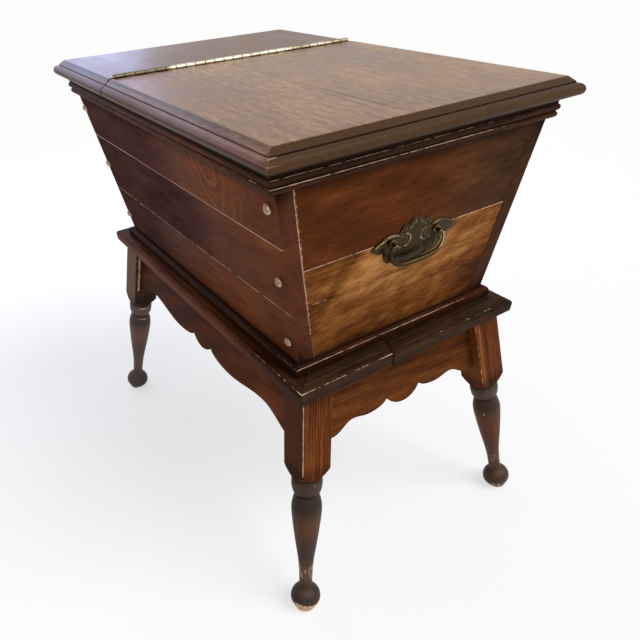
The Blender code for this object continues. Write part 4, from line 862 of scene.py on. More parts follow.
pegs = [(side, end, step) for side in ("left", "right") for end in ("front", "back")
        for step in range(len(BOARD_NAMES))]
for number, (side, end, step) in enumerate(pegs):
    low, high = WALL_LEVELS["side"][step:step + 2]
    points, x, y, height = peg_surface(side, end, low + (high - low) * PEG_SHARE, 1.0 + number)
    foot = ease(-height, -0.0022, -0.0006) * (0.5 + 0.5 * ease(x, -0.002, 0.003))
    # Painted highlight: a pale crescent on the front of the dome's rim.
    rubbed_and_highlight = ease(np.hypot(x + 0.0006, y - 0.0004), 0.0018, 0.0032) * ease(-x - 0.3 * y, -0.001, 0.002)
    grain = np.stack([height + 0.2 * number, x + 0.03, y + 0.02 * number], -1)
    peg = "peg_" + side + "_" + end + "_" + BOARD_NAMES[step]
    add_piece(peg + "_dome", points, net(*x.shape, wrap=True).tolist(), peg_material, "peg_tan", [peg],
              sharp=60, grain=grain, tone=0.06 - 0.3 * foot, wear=0.72 * rubbed_and_highlight * (1 - foot),
              soil=0.9 * foot)

# Shoe and rim mouldings. Planed strips, mitred round the box and bradded on: a red-brown quarter round at
# its foot, and under the lid a nearly black fillet over two beads, rubbed pale on top at the front, with
# painted shade under and between the beads and on the fillet under the lid's nose.

SHOE_OUT, SHOE_HEAD, SHOE_ROUND, SHOE_UPRIGHT = 0.0092, 0.3210, 0.0064, 0.002
RIM_FOOT, RIM_FILLET, BEAD_PROUD = 0.5190, 0.0040, 0.00285
LOW_BEAD_Z, LOW_BEAD = 0.5224, 0.0034
HIGH_BEAD_Z, HIGH_BEAD = 0.5295, 0.0037


def mitred(section, side, steps):
    """A moulding carried along a wall, mitred with its neighbours at the box's leaning corners."""
    out, z = section.T
    reach = wall_distance(next_side(side), z) + out - wall_distance(side, z) - FIT_GAP / 2
    return carried(section, side, -reach, reach, steps)


def shoe_section(side):
    """Against the leaning wall, a foot, a small upright face and a quarter round, with the wear and the
    soil of each point."""
    outer = WALL_FOOT[side] + SHOE_OUT
    degrees = np.array([0, 10, 20, 28, 34, 40, 48, 60, 75, 90])
    turn = np.radians(degrees)
    rounding = np.column_stack([outer - SHOE_ROUND + SHOE_ROUND * np.cos(turn),
                                SHOE_HEAD - SHOE_ROUND + SHOE_ROUND * np.sin(turn)])
    section = np.vstack([[[wall_distance(side, SHOE_HEAD) + FIT_GAP, SHOE_HEAD],
                          [WALL_FOOT[side] + FIT_GAP, BOX_FOOT], [outer, BOX_FOOT],
                          [outer, BOX_FOOT + SHOE_UPRIGHT]], rounding])
    wear = np.concatenate([np.zeros(4), 0.98 * bump_at(degrees, 34, 5)])
    round_soil = 0.75 * ease(degrees, 62, 90) + 0.3 * ease(-degrees, -20, 0)
    return section, wear, np.concatenate([[0.9, 0.9, 0.8, 0.4], round_soil])


def rim_section(side):
    """A smaller bead, a larger bead, and a fillet up to the lid, with the pale and dark marks of each
    point; the dark is painted shade under and between the beads and on the fillet.
    """

    def out(z):
        """Distance of the moulding's back at a height."""
        return wall_distance(side, z) + FIT_GAP

    def bead(z, radius, degrees):
        """An arc of a circle whose middle stands a little proud of the back."""
        turn = np.radians(degrees)
        return np.column_stack([out(z) + BEAD_PROUD + radius * np.cos(turn), z + radius * np.sin(turn)])

    low_degrees, high_degrees = np.linspace(-88, 62, 22), np.linspace(-62, 80, 22)
    lower, upper = bead(LOW_BEAD_Z, LOW_BEAD, low_degrees), bead(HIGH_BEAD_Z, HIGH_BEAD, high_degrees)
    top = upper[-1, 1]
    section = np.vstack([[[out(BOX_RIM), BOX_RIM], [out(RIM_FOOT), RIM_FOOT]], lower, upper,
                         [[out(top) + RIM_FILLET, top], [out(BOX_RIM) + RIM_FILLET, BOX_RIM]]])
    low_wear, high_wear = 0.92 * bump_at(low_degrees, 36, 10), 0.80 * bump_at(high_degrees, 44, 10)
    # Painted shade: under the lower bead, in the crease between the beads, and on the fillet under the
    # lid.
    low_soil = 0.8 * ease(low_degrees, 48, 62) + 0.3 * ease(-low_degrees, 0, 60)
    high_soil = 0.8 * ease(-high_degrees, 20, 62)
    wear = np.concatenate([[0, 0], low_wear, high_wear, [0, 0]])
    return section, wear, np.concatenate([[0.9, 0.6], low_soil, high_soil, [0.7, 0.8]])


for number, side in enumerate(OUTWARD):
    for kind, maker in (("shoe", shoe_section), ("rim", rim_section)):
        section, wear, soil = maker(side)
        points, faces, place = mitred(section, side, 60)
        strength = {"front": 1.0 - 0.45 * ease(place, 0.02, 0.14),
                    "left": 0.36 + 0.3 * ease(-place, 0.1, 0.24)}
        worn_and_highlight = strength.get(side, 0.8) * wear * (0.97 + 0.08 * np.sin(place * 37 + 2 * number))
        tone = 0.04 * np.sin(place * 11 + number) - 0.22 * (kind == "shoe")
        grain = np.stack([place + 2.1 * number + (0.9 if kind == "rim" else 0), section[:, 0] + 0 * place,
                          section[:, 1] + 0 * place], -1)
        red = 1.0 if kind == "shoe" else 0.7 if side == "left" else 0.25
        moulding = kind + "_moulding_" + side
        add_piece(moulding + "_planed", points, faces, edge_material, "dark_edge", [moulding], grain=grain,
                  tone=tone, wear=worn_and_highlight, soil=soil, second=red)

# Top. Two lid boards, glued edge to edge, and a fixed rear board, with grain from front to back. One
# router profile runs round them all: a bevel, a quirk and a bullnose. The flat has worn to a soft
# brown with fine dark streaks, the moulded edge is still dark, and the lid is notched at the hinge.

TOP_Z, TOP_FOOT = 0.560, 0.5415
TOP_HALF_X, TOP_HALF_Y = 0.187, 0.2765
EDGE_WIDTH, LEFT_EDGE_X = 0.015, -0.17
TOP_STEP = 0.008
NOSE_Z, NOSE_DEEP, NOSE_RISE, NOSE_FALL = 0.5467, 0.0052, 0.0064, 0.0052
LID_SEAM, SEAM_GAP = -0.034, 0.00005
HINGE_Y, HINGE_Z = 0.0845, 0.561
HALF_JOINT = 0.00145
KNUCKLE_PITCH, KNUCKLES = 0.013, 26
HINGE_HALF = KNUCKLE_PITCH * KNUCKLES / 2
NOTCH_IN, NOTCH_FLOOR = 0.0051, 0.5556
CHAMFER_FOOT = 0.5575
PLAIN_EASE = 0.0002
BEVEL_RING, QUIRK_RING, NOSE_RING, NOSE_MIDDLE_RING, NOSE_FOOT_RING = 3, 8, 10, 20, 30


def edge_rings():
    """Inset from the edge, height, and pale and dark marks down the moulded edge: from the flat over a
    slightly rounded arris, down the bevel, into the quirk, over the nose's upper arris and round the
    nose, which is an upper and a lower quarter ellipse. The dark is dust in the quirk and painted shade
    on the nose's underside."""
    flat = [(EDGE_WIDTH, TOP_Z, 0, 0), (0.0140, TOP_Z, 0.05, 0), (0.0136, 0.55988, 0.15, 0)]
    bevel = [(0.0131, 0.5595, 0.05, 0), (0.0118, 0.55845, 0, 0), (0.0095, 0.55656, 0, 0),
             (0.0080, 0.5553, 0, 0.1), (0.0075, 0.5549, 0, 0.5)]
    quirk = [(0.0074, 0.5545, 0, 1), (0.0073, 0.5538, 0, 1)]
    arris = [(0.0069, 0.55368, 0.4, 0.5), (0.0064, 0.5536, 0.6, 0), (0.0056, 0.5534, 0.15, 0)]
    degrees = np.linspace(74, -78, 20)
    turn = np.radians(degrees)
    rise = np.where(degrees > 0, NOSE_RISE, NOSE_FALL)
    # Painted shade, darkening the nose towards its underside.
    nose = np.column_stack([NOSE_DEEP - NOSE_DEEP * np.cos(turn), NOSE_Z + rise * np.sin(turn), 0 * turn,
                            0.75 * ease(-degrees, 10, 70)])
    return np.vstack([flat, bevel, quirk, arris, nose, [(0.012, TOP_FOOT, 0, 0.8)]])


def side_inset(kind, run, profile, z):
    """How far a side of a board is set in at a height, by place along it: by the profile where it is
    moulded, by a chamfer for the hinge's barrel, with a notch under each knuckle of the rear leaf if it
    is the lid's, and by a small easing above and below at a plain seam."""
    if kind == "moulded":
        return profile + 0 * run
    if kind == "seam":
        return PLAIN_EASE * ((z > TOP_Z - 0.0001) + (z < TOP_FOOT + 0.0003)) + 0 * run
    chamfer = np.maximum(z - CHAMFER_FOOT, 0) + 0 * run
    turn = (run + HINGE_HALF) / KNUCKLE_PITCH
    rear_knuckle = (np.floor(turn) % 2 == 0) * (np.abs(run) < HINGE_HALF)
    return np.where(rear_knuckle & (z > NOTCH_FLOOR) & (kind == "notched"), NOTCH_IN, chamfer)


def edged_board(x_shares, y_shares, low, high, kinds):
    """Grids above and below, joined by rings down the edge, each set in from the four sides."""
    rows = edge_rings()
    x_share, y_share = [part.ravel() for part in np.meshgrid(x_shares, y_shares, indexing="ij")]
    loop, faces = board_net(len(x_shares), len(y_shares), len(rows) - 2)
    layers = [(x_share[loop], y_share[loop])] * (len(rows) - 2)
    layers = [(x_share, y_share), *layers, (x_share, y_share)]
    parts = []
    for ring, (s, t) in enumerate(layers):
        profile, z = rows[ring, :2]
        x = low[0] + s * (high[0] - low[0])
        left, right = [side_inset(kinds[side], x, profile, z) for side in ("left", "right")]
        x = np.clip(x, low[0] + left, high[0] - right)
        y = low[1] + t * (high[1] - low[1])
        front, back = [side_inset(kinds[side], x, profile, z) for side in ("front", "back")]
        y = np.clip(y, low[1] + front, high[1] - back)
        parts.append(np.column_stack([x, y, np.full(len(x), z), np.full(len(x), ring)]))
    data = np.vstack(parts)
    ring = data[:, 3].astype(int)
    return data[:, :3], faces, rows[ring, 2], rows[ring, 3], ring


def top_shares(low, high, moulded_low, moulded_high, marks=()):
    """Shares along a side: close steps where it is moulded, even steps between, and given marks."""
    margin = EDGE_WIDTH + 0.002
    inner = np.linspace(low + margin, high - margin, max(int((high - low) / TOP_STEP), 4))
    start = np.array([low, low + (EDGE_WIDTH if moulded_low else TOP_STEP / 2)])
    stop = np.array([high - (EDGE_WIDTH if moulded_high else TOP_STEP / 2), high])
    inner = inner[(inner > start[-1] + 0.001) & (inner < stop[0] - 0.001)]
    clear = EDGE_WIDTH + 0.0002
    inside = [mark for mark in marks if low + clear < mark < high - clear]
    every = np.unique(np.concatenate([start, inner, stop, inside]).round(6))
    return (every - low) / (high - low)


def top_marks(body, x, y, ring, wear, soil):
    """Marks of the top: the flat by place on it, the moulded edge by ring. Its left side is painted
    lighter and purple, a painted reflection, with a dark line at the flat and a nose that is pale above
    near the front and painted darker below, and its mitre is pale. The flat's left rear is painted darker
    and purple, a painted reflection too."""
    from_edge = np.minimum(TOP_HALF_X - np.abs(x), TOP_HALF_Y - np.abs(y))
    from_corner = np.hypot(x + TOP_HALF_X, y + TOP_HALF_Y)
    moulded = (from_edge < EDGE_WIDTH - 0.0008) & (ring > 0)
    on_left = (x + TOP_HALF_X < y + TOP_HALF_Y) & (x < LEFT_EDGE_X)
    bevel = (ring >= BEVEL_RING) & (ring < QUIRK_RING)
    upper_nose = (ring >= NOSE_RING) & (ring < NOSE_MIDDLE_RING)
    frontward = ease(-y, -0.05, 0.22)
    second = np.select([ring >= BEVEL_RING, ring == BEVEL_RING - 1], [1.0, 0.5], 0.0)
    second = np.where(on_left & bevel, 0.15, second)
    second = np.where(on_left & upper_nose, 1 - 0.75 * frontward, second)

    # Bare wood at the arrises, most near the front left corner, and dirt in the quirk.
    wear = wear * moulded * (0.35 + 0.9 * np.exp(-from_corner / 0.05))
    off_mitre = from_corner - from_edge * math.sqrt(2)
    wear = wear + 0.48 * np.exp(-off_mitre / 0.0012) * (ring > QUIRK_RING) * (ring < NOSE_FOOT_RING)
    line = 0.7 * ((ring == BEVEL_RING) | (ring == BEVEL_RING + 1)) * (1 - 0.6 * frontward)
    soil = np.where(on_left & (ring <= NOSE_RING), 0.4 * soil + line, soil)
    soil = np.where(moulded, soil, 0.2 * (ring >= BEVEL_RING))

    # Stain of the flat and of the moulded edge. Painted reflection: the flat is darker and purple behind
    # the hinge and to the left, and the left edge lighter and purple, with painted shade darkening its
    # lower nose.
    shade = ease(-x, 0.05, 0.17) * ease(y, -0.25, 0.05)
    flat_tone = -0.04 * ease(x, 0.0, 0.15) + (-0.42 if body == "table" else 0.0)
    flat_tone = flat_tone - 0.15 * shade + (0.10 * on_left - 0.03) * (ring >= BEVEL_RING)
    edge_tone = np.where(ring < NOSE_MIDDLE_RING, 0.16 - 0.12 * ease(y, 0.05, 0.25), -0.22) * on_left
    tone = np.where(second < 0.6, flat_tone, edge_tone)
    # Painted purple reflection on the left edge.
    left_edge_sheen = np.select([ring < QUIRK_RING, ring < NOSE_MIDDLE_RING], [0.3, 0.55], 0.35) * on_left
    return {"tone": tone, "wear": np.clip(wear, 0, 1), "soil": np.clip(soil, 0, 1), "second": second,
            "figure": np.where(second > 0.6, 0.25, 1.25),
            "glaze_and_sheen": np.where(ring < BEVEL_RING, 0.45 * shade, left_edge_sheen)}


top_material = wood("top_wood", [(92, 59, 40), (127, 94, 65), (147, 114, 80), (173, 143, 111)],
                    (206, 176, 140), others=[(32, 21, 12), (61, 43, 26), (82, 59, 37), (108, 82, 54)],
                    fibre=0.75, rings=0.06, blotch=0.8, mottle=0.5, grit=0.9, ring_width=0.009,
                    pith=(0.25, 0.12), thread=0.0026, curl=(0.012, 0.0045, 0.02), slant=0.06,
                    glaze_and_sheen=(114, 72, 66), gloss=(0.28, 0.4), shine=(0.14, 0.05), relief=0.18)
knuckle_marks = np.linspace(-HINGE_HALF, HINGE_HALF, KNUCKLES + 1)
knuckle_marks = np.concatenate([knuckle_marks - 0.0001, knuckle_marks + 0.0001])
lid_back, rear_front = HINGE_Y - HALF_JOINT, HINGE_Y + HALF_JOINT
top_boards = {
    "lid_board_left": ((-TOP_HALF_X, -TOP_HALF_Y), (LID_SEAM - SEAM_GAP, lid_back), "lid",
                       {"left": "moulded", "right": "seam", "front": "moulded", "back": "notched"}),
    "lid_board_right": ((LID_SEAM + SEAM_GAP, -TOP_HALF_Y), (TOP_HALF_X, lid_back), "lid",
                        {"left": "seam", "right": "moulded", "front": "moulded", "back": "notched"}),
    "rear_top_board": ((-TOP_HALF_X, rear_front), (TOP_HALF_X, TOP_HALF_Y), "table",
                       {"left": "moulded", "right": "moulded", "front": "chamfered", "back": "moulded"}),
}
for number, (node, (low, high, body, kinds)) in enumerate(top_boards.items()):
    moulded = {side: kind == "moulded" for side, kind in kinds.items()}
    x_shares = top_shares(low[0], high[0], moulded["left"], moulded["right"], knuckle_marks)
    y_shares = top_shares(low[1], high[1], moulded["front"], moulded["back"])
    points, faces, wear, soil, ring = edged_board(x_shares, y_shares, low, high, kinds)
    x, y, z = points.T
    grain = np.column_stack([y + 0.9 * number, x + 0.21 * number, 0.03 + z - TOP_Z])
    add_piece(node + "_moulded", points, faces, top_material, "dark_top", [node], body=body, sharp=32,
              grain=grain, **top_marks(body, x, y, ring, wear, soil))

# Piano hinge. Rolled brass leaves sunk in the joint behind the lid, their knuckles taking turns along
# a pin. Painted reflections: the left end is dull and green-brown and the middle pale and silvery
# brass. The right end is a little tarnished, and the knuckles' ends are painted dark as shade in the
# gaps between them.

KNUCKLE_RADIUS = 0.0031
KNUCKLE_ROUND = 28
TARNISH_CELL, PIT_CELL = 0.0024, 0.0006
LEAF_THICKNESS, LEAF_FOOT, LEAF_HEAD = 0.0010, 0.5425, 0.5575


def brass(name, clean, dull_and_dark_reflection, dark, metal_rough, coverage):
    """Brass by three attributes: tone moves it from clean towards a tarnished colour, the second to a
    dark colour, for dust in recesses and also painted shade and dark reflections, and the third back
    to clean, for wearing and also painted highlights and bright reflections. Fine noise breaks up the
    tarnished colour, roughens it and gives a shallow bump."""
    material, tree, shader = new_material(name)
    place = add_node(tree, "TexCoord", {}).outputs["Object"]
    spots = noise(tree, place, (TARNISH_CELL,) * 3, 4.0, 0.65)
    fine = noise(tree, place, (PIT_CELL,) * 3, 2.0)
    tarnish_and_reflection = math_node(tree, "MULTIPLY_ADD", spots, 0.9, attribute(tree, "tone"))
    tarnish_and_reflection = remap(tree, tarnish_and_reflection, coverage - 0.25, coverage + 0.25)
    colour = mix(tree, tarnish_and_reflection, paint(*clean), paint(*dull_and_dark_reflection))
    # Dark colour: dust in recesses, and painted shade and painted dark reflections where a piece's marks
    # ask for it.
    colour = mix(tree, attribute(tree, "soil"), colour, paint(*dark))
    # Clean colour: wearing, and painted highlights and painted bright reflections where a piece's marks
    # ask for it.
    rubbed_and_highlight = remap(tree, math_node(tree, "MULTIPLY_ADD", spots, 0.5, attribute(tree, "wear")), 0.55, 0.95)
    colour = mix(tree, rubbed_and_highlight, colour, paint(*clean))
    tree.links.new(colour, shader.inputs["Base Color"])
    rough = remap(tree, spots, 0.3, 0.7, metal_rough, metal_rough + 0.16)
    rough = math_node(tree, "MULTIPLY_ADD", rubbed_and_highlight, -0.12, rough)
    tree.links.new(rough, shader.inputs["Roughness"])
    height = math_node(tree, "MULTIPLY_ADD", fine, 0.3, spots)
    bump = add_node(tree, "Bump", {"Strength": 0.2, "Distance": 0.0002, "Height": height})
    tree.links.new(bump.outputs[0], shader.inputs["Normal"])
    shader.inputs["Metallic"].default_value = 1.0
    return material


def knuckle_row(first):
    """Barrels by angle and place along the pin, each with turned-in ends closed on the axis."""
    starts = -HINGE_HALF + KNUCKLE_PITCH * np.arange(first, KNUCKLES, 2)
    turn_in, share = np.array([0, 0, 0.0004, 0.0011]), np.array([0, 0.80, 0.96, 1])
    along = np.concatenate([turn_in, KNUCKLE_PITCH - turn_in[::-1]]) * (1 - FIT_GAP / KNUCKLE_PITCH)
    radius = np.concatenate([share, share[::-1]]) * KNUCKLE_RADIUS
    turn = 2 * np.pi * np.arange(KNUCKLE_ROUND) / KNUCKLE_ROUND
    x = starts[:, None, None] + FIT_GAP / 2 + along[:, None] + 0 * turn
    y = HINGE_Y + radius[:, None] * np.cos(turn) + 0 * x
    z = HINGE_Z + radius[:, None] * np.sin(turn) + 0 * x
    points = np.stack([x, y, z], -1).reshape(-1, 3)
    one = net(len(along), KNUCKLE_ROUND, wrap=True)
    jumps = np.arange(len(starts))[:, None, None] * len(along) * KNUCKLE_ROUND
    ends = np.isin(np.arange(len(along)), (1, 2, 5, 6)).astype(float)[:, None] + 0 * turn
    return points, (one[None] + jumps).reshape(-1, 4), np.tile(ends.ravel(), len(starts))


def leaf_plate(sign):
    """The sunk strip of a leaf up to the barrel, as a section carried along the joint."""
    inner, outer = sign * FIT_GAP / 2, sign * (FIT_GAP / 2 + LEAF_THICKNESS)
    y, z = np.array([[inner, LEAF_FOOT], [outer, LEAF_FOOT], [outer, LEAF_HEAD], [inner, LEAF_HEAD]]).T
    x = np.linspace(-HINGE_HALF, HINGE_HALF, 40)[:, None]
    points = np.stack([x + 0 * y, HINGE_Y + y + 0 * x, z + 0 * x], -1)
    return points.reshape(-1, 3), np.array(tube(len(x), len(y), 2))


def repaint(node, material):
    """Give a CAD node that stays in view a material."""
    node.data.materials.clear()
    node.data.materials.append(material)


hinge_brass = brass("hinge_brass", (204, 195, 172), (136, 122, 96), (74, 68, 55), 0.34, 0.60)
for node, sign, first, body in (("hinge_rear_leaf", 1, 0, "table"), ("hinge_lid_leaf", -1, 1, "lid")):
    barrels, barrel_faces, ends = knuckle_row(first)
    plate, plate_faces = leaf_plate(sign)
    points = np.vstack([barrels, plate])
    x = points[:, 0]
    # Painted reflection: dark and dull at the left end, pale in the middle; painted shade at the knuckles'
    # ends.
    dull_and_dark_reflection, faded = ease(-x, 0.098, 0.106), ease(x, 0.01, 0.13)
    soil = np.concatenate([0.40 * ends, np.full(len(plate), 0.7)]) * (1 - dull_and_dark_reflection) + 0.72 * dull_and_dark_reflection
    add_piece(node + "_rolled", points, np.vstack([barrel_faces, plate_faces + len(barrels)]).tolist(),
              hinge_brass, "bright_brass", [node], body=body, soil=soil,
              wear=0.25 * (1 - dull_and_dark_reflection) * (1 - faded),
              tone=0.85 * dull_and_dark_reflection + 0.35 * faded - 0.05 + 0.2 * np.sin(90 * x))
pin_brass = brass("pin_brass", (206, 190, 150), (140, 124, 90), (46, 42, 30), 0.3, 0.7)
repaint(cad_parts["hinge_pin"], pin_brass)

# Brass pull. A cast plate with a crest, leaf wings, scrolls and a plain shield, two turned posts through
# the boards with nuts inside, and a bail sprung into the posts' eyes. It is dark olive all over, with
# thin bright lines on the high edges where hands rub it, partly painted highlights brighter on the left,
# and painted glints on the plate, the post heads and the bail.

PULL_X, PULL_Z = 0.002, 0.429535
POST_X = 0.030
POST_STANDOFF = 0.0070
POST_BALL, POST_SHANK, POST_INNER_END, POST_ROUND = 0.0030, 0.0019, -0.0226, 32
PLATE_THICKNESS = 0.0016
PLATE_HALF, PLATE_CREST, PLATE_DROP = 0.0566, 0.0235, 0.0296
PLATE_STEPS, PLATE_ROWS = 110, 42
RIDGE_HEIGHT, SHIELD_SWELL = 0.0013, 0.0009
BAIL_HALF, BAIL_DROP, BAIL_WIRE, BAIL_GRIP, BAIL_BEND = 0.0351, 0.0233, 0.0015, 0.0030, 0.00165
BAIL_TIP_IN, BAIL_ROUND = 0.0021, 24
PULL_AXES = wall_axes("front")
PULL_ALONG, _, PULL_OUT = PULL_AXES
PULL_ORIGIN = np.array([PULL_X, -wall_distance("front", PULL_Z), PULL_Z])


def plate_outline(count):
    """Right half of the outline in smooth stretches, crest to wing tip and tip to foot, each shared out
    in even steps, then the mirror image of both."""
    h, c, d = PLATE_HALF, PLATE_CREST, PLATE_DROP
    upper = ([(0, c), (h * 0.10, c * 0.96), (h * 0.19, c * 0.72)],
             [(h * 0.19, c * 0.72), (h * 0.30, c * 0.74), (h * 0.385, c * 0.40)],
             [(h * 0.385, c * 0.40), (h * 0.50, c * 0.49), (h * 0.69, c * 0.46), (h * 0.87, c * 0.23),
              (h, c * 0.05)])
    lower = ([(h, c * 0.05), (h * 0.95, -d * 0.10), (h * 0.83, -d * 0.22), (h * 0.69, -d * 0.27)],
             [(h * 0.69, -d * 0.27), (h * 0.695, -d * 0.45), (h * 0.62, -d * 0.68), (h * 0.50, -d * 0.76),
              (h * 0.45, -d * 0.63)],
             [(h * 0.45, -d * 0.63), (h * 0.34, -d * 0.89), (0, -d)])

    def even(stretches):
        """The stretches end to end, cut up by length."""
        line = np.vstack([smooth_curve(part, 24)[:-1] for part in stretches] + [stretches[-1][-1:]])
        run = np.concatenate([[0], np.cumsum(np.hypot(*np.diff(line, axis=0).T))])
        at = np.linspace(0, run[-1], count)
        return np.column_stack([np.interp(at, run, line[:, 0]), np.interp(at, run, line[:, 1])])

    right = np.vstack([even(upper), even(lower)[1:]])
    return np.vstack([right, right[-2:0:-1] * [-1, 1]])


def ridge(x, y, line, width):
    """Height of a rounded ridge along a line of points: a bell of the distance to the nearest one."""
    gap = np.hypot(x[..., None] - line[:, 0], y[..., None] - line[:, 1]).min(-1)
    return np.exp(-(gap / width) ** 2)


def plate_relief(x, y):
    """Cast relief: C-scrolls and curls beside the shield, lined wings, a ribbed crest and lower ears,
    each a ridge along an arc or a curve, over a shield that swells in the middle."""
    x = np.abs(x)

    def arc(centre, radius, start, end, width):
        """A ridge along part of a circle, between two angles in degrees."""
        turn = np.radians(np.linspace(start, end, 48))
        line = np.column_stack([centre[0] + radius * np.cos(turn), centre[1] + radius * np.sin(turn)])
        return ridge(x, y, line, width)

    def curve(width, *points):
        """A ridge along a smooth curve through points."""
        return ridge(x, y, smooth_curve(points, 24), width)

    scroll = arc((0.0142, 0.0006), 0.0072, 95, 268, 0.0010)
    ear = arc((0.0335, -0.0152), 0.0045, -215, 40, 0.0010)
    curl = curve(0.0009, (0.0222, 0.0052), (0.0180, 0.0066), (0.0132, 0.0038), (0.0122, -0.0002),
                 (0.0150, -0.0030))
    wing = curve(0.0010, (0.0235, 0.0078), (0.0285, 0.0096), (0.0360, 0.0092), (0.0430, 0.0062),
                 (0.0530, 0.0020))
    vein = curve(0.0008, (0.0375, 0.0018), (0.0440, 0.0004), (0.0510, -0.0006))
    leaf = curve(0.0010, (0.0025, 0.0205), (0.0052, 0.0165), (0.0100, 0.0120))
    fan = curve(0.0009, (0.0130, 0.0150), (0.0165, 0.0128), (0.0205, 0.0100))
    foot = curve(0.0009, (0.0225, -0.0190), (0.0160, -0.0240), (0.0, -0.0268))
    shield = np.exp(-(x / 0.0115) ** 4 - ((y + 0.005) / 0.018) ** 4)
    post = np.exp(-(np.hypot(x - POST_X, y) / 0.0066) ** 6)
    lines = np.maximum.reduce([scroll, 0.7 * curl, 0.8 * ear, wing, 0.5 * vein, 0.9 * leaf, 0.7 * fan,
                               0.6 * foot])
    lines = lines * (1 - post)
    return RIDGE_HEIGHT * lines + SHIELD_SWELL * shield * (1 - scroll), lines


def plate_surface():
    """Grid of place round the outline and share of the way in to a spine, which runs midway between the
    upper and the lower outline. The edge rounds up from the back, and the relief stands on the front."""
    count = PLATE_STEPS
    outline = plate_outline(count)
    index = np.arange(len(outline))
    opposite = np.where(index < 2 * count - 1, 2 * count - 2 - index, 6 * count - 6 - index)
    spine = (outline + outline[opposite % len(outline)]) / 2 * [0.9, 1]
    bend = np.radians([15, 35, 60, 90])
    share = np.concatenate([[1, 1], 1 - 0.03 * (1 - np.cos(bend)), np.linspace(0.955, 0, PLATE_ROWS)])
    flat = spine + (outline - spine) * share[:, None, None]
    x, y = flat[..., 0], flat[..., 1]
    relief, lines = plate_relief(x, y)
    inner = ease(1 - share, 0.015, 0.10)[:, None]
    rise = np.concatenate([[0, 0.35], 0.35 + 0.65 * np.sin(bend), np.ones(PLATE_ROWS)])[:, None]
    height = FIT_GAP + 0.8 * PLATE_THICKNESS * rise + relief * inner
    return x, y, height, lines * inner


pull_brass = brass("pull_brass", (202, 188, 150), (84, 67, 39), (37, 27, 14), 0.26, 0.42)
x, y, height, lines = plate_surface()
# Painted highlights: glints at listed spots on the plate's lobes, and the bright lines fading on the right
# wing and broken into sparkles.
glints = np.array([(-0.0012, 0.0172), (-0.0128, 0.0128), (-0.0178, 0.0047), (0.0176, 0.0052),
                   (0.0205, -0.0056), (0.0400, -0.0050), (-0.0258, -0.0085), (-0.0188, -0.0072),
                   (0.0120, 0.0120)])
bright = ridge(x, y, glints, 0.0014)
broken = 0.9 + 0.25 * np.sin(620 * x) * np.sin(540 * y + 1)
worn_and_highlight = 0.66 * ease(lines, 0.6, 0.98) * (1 - 0.8 * ease(x, 0.022, 0.032)) * broken
add_piece("pull_plate_cast", set_out(PULL_ORIGIN, PULL_AXES, x, y, height), tube(*x.shape, 1), pull_brass,
          "old_brass", ["pull_plate"], sharp=70, tone=0.3, wear=np.maximum(worn_and_highlight, 0.52 * bright),
          soil=np.clip(0.62 - 0.6 * np.maximum(lines, 0.8 * bright), 0, 1))


def post_surface(x):
    """A turned post by angle and height: ball head, neck, collar and shank, with its painted highlight on
    the ball head and its dark marks, painted shade under the ball.
    """
    turn = 2 * np.pi * np.arange(POST_ROUND) / POST_ROUND
    degrees = np.linspace(0, 135, 14)
    fall = np.radians(degrees)
    head = np.column_stack([POST_BALL * np.sin(fall), POST_STANDOFF + POST_BALL * np.cos(fall)])
    seat = PLATE_THICKNESS + 2 * FIT_GAP
    collar = [(0.0021, seat + 0.0012), (0.0030, seat + 0.0011), (0.0042, seat + 0.0009),
              (0.0050, seat + 0.0004), (0.0052, seat)]
    shank = [(POST_SHANK, seat), (POST_SHANK, POST_INNER_END), (0.0, POST_INNER_END)]
    radius, height = np.hsplit(np.vstack([head, collar, shank]), 2)
    points = set_out(PULL_ORIGIN + x * PULL_ALONG, PULL_AXES, radius * np.cos(turn), radius * np.sin(turn),
                     height + 0 * turn)
    # Painted highlight on the ball head, and painted shade under it.
    shine = np.concatenate([0.40 * bump_at(degrees, 50, 25), [0, 0.1, 0.3, 0.25, 0, 0, 0, 0]])
    head_dark = 0.40 + 0.1 * ease(degrees, 90, 128)
    dark = np.concatenate([head_dark, [0.35, 0.35, 0.3, 0.4, 0.7, 0.7, 0.7, 0.7]])
    return points, shine[:, None], dark[:, None]


for name, x in (("left", -POST_X), ("right", POST_X)):
    points, shine, dark = post_surface(x)
    faces = net(*points.shape[:2], wrap=True).tolist()
    add_piece("pull_post_" + name + "_turned", points, faces, pull_brass, "old_brass",
              ["pull_post_" + name], tone=0.2, wear=shine, soil=dark)
    repaint(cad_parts["pull_nut_" + name], pin_brass)


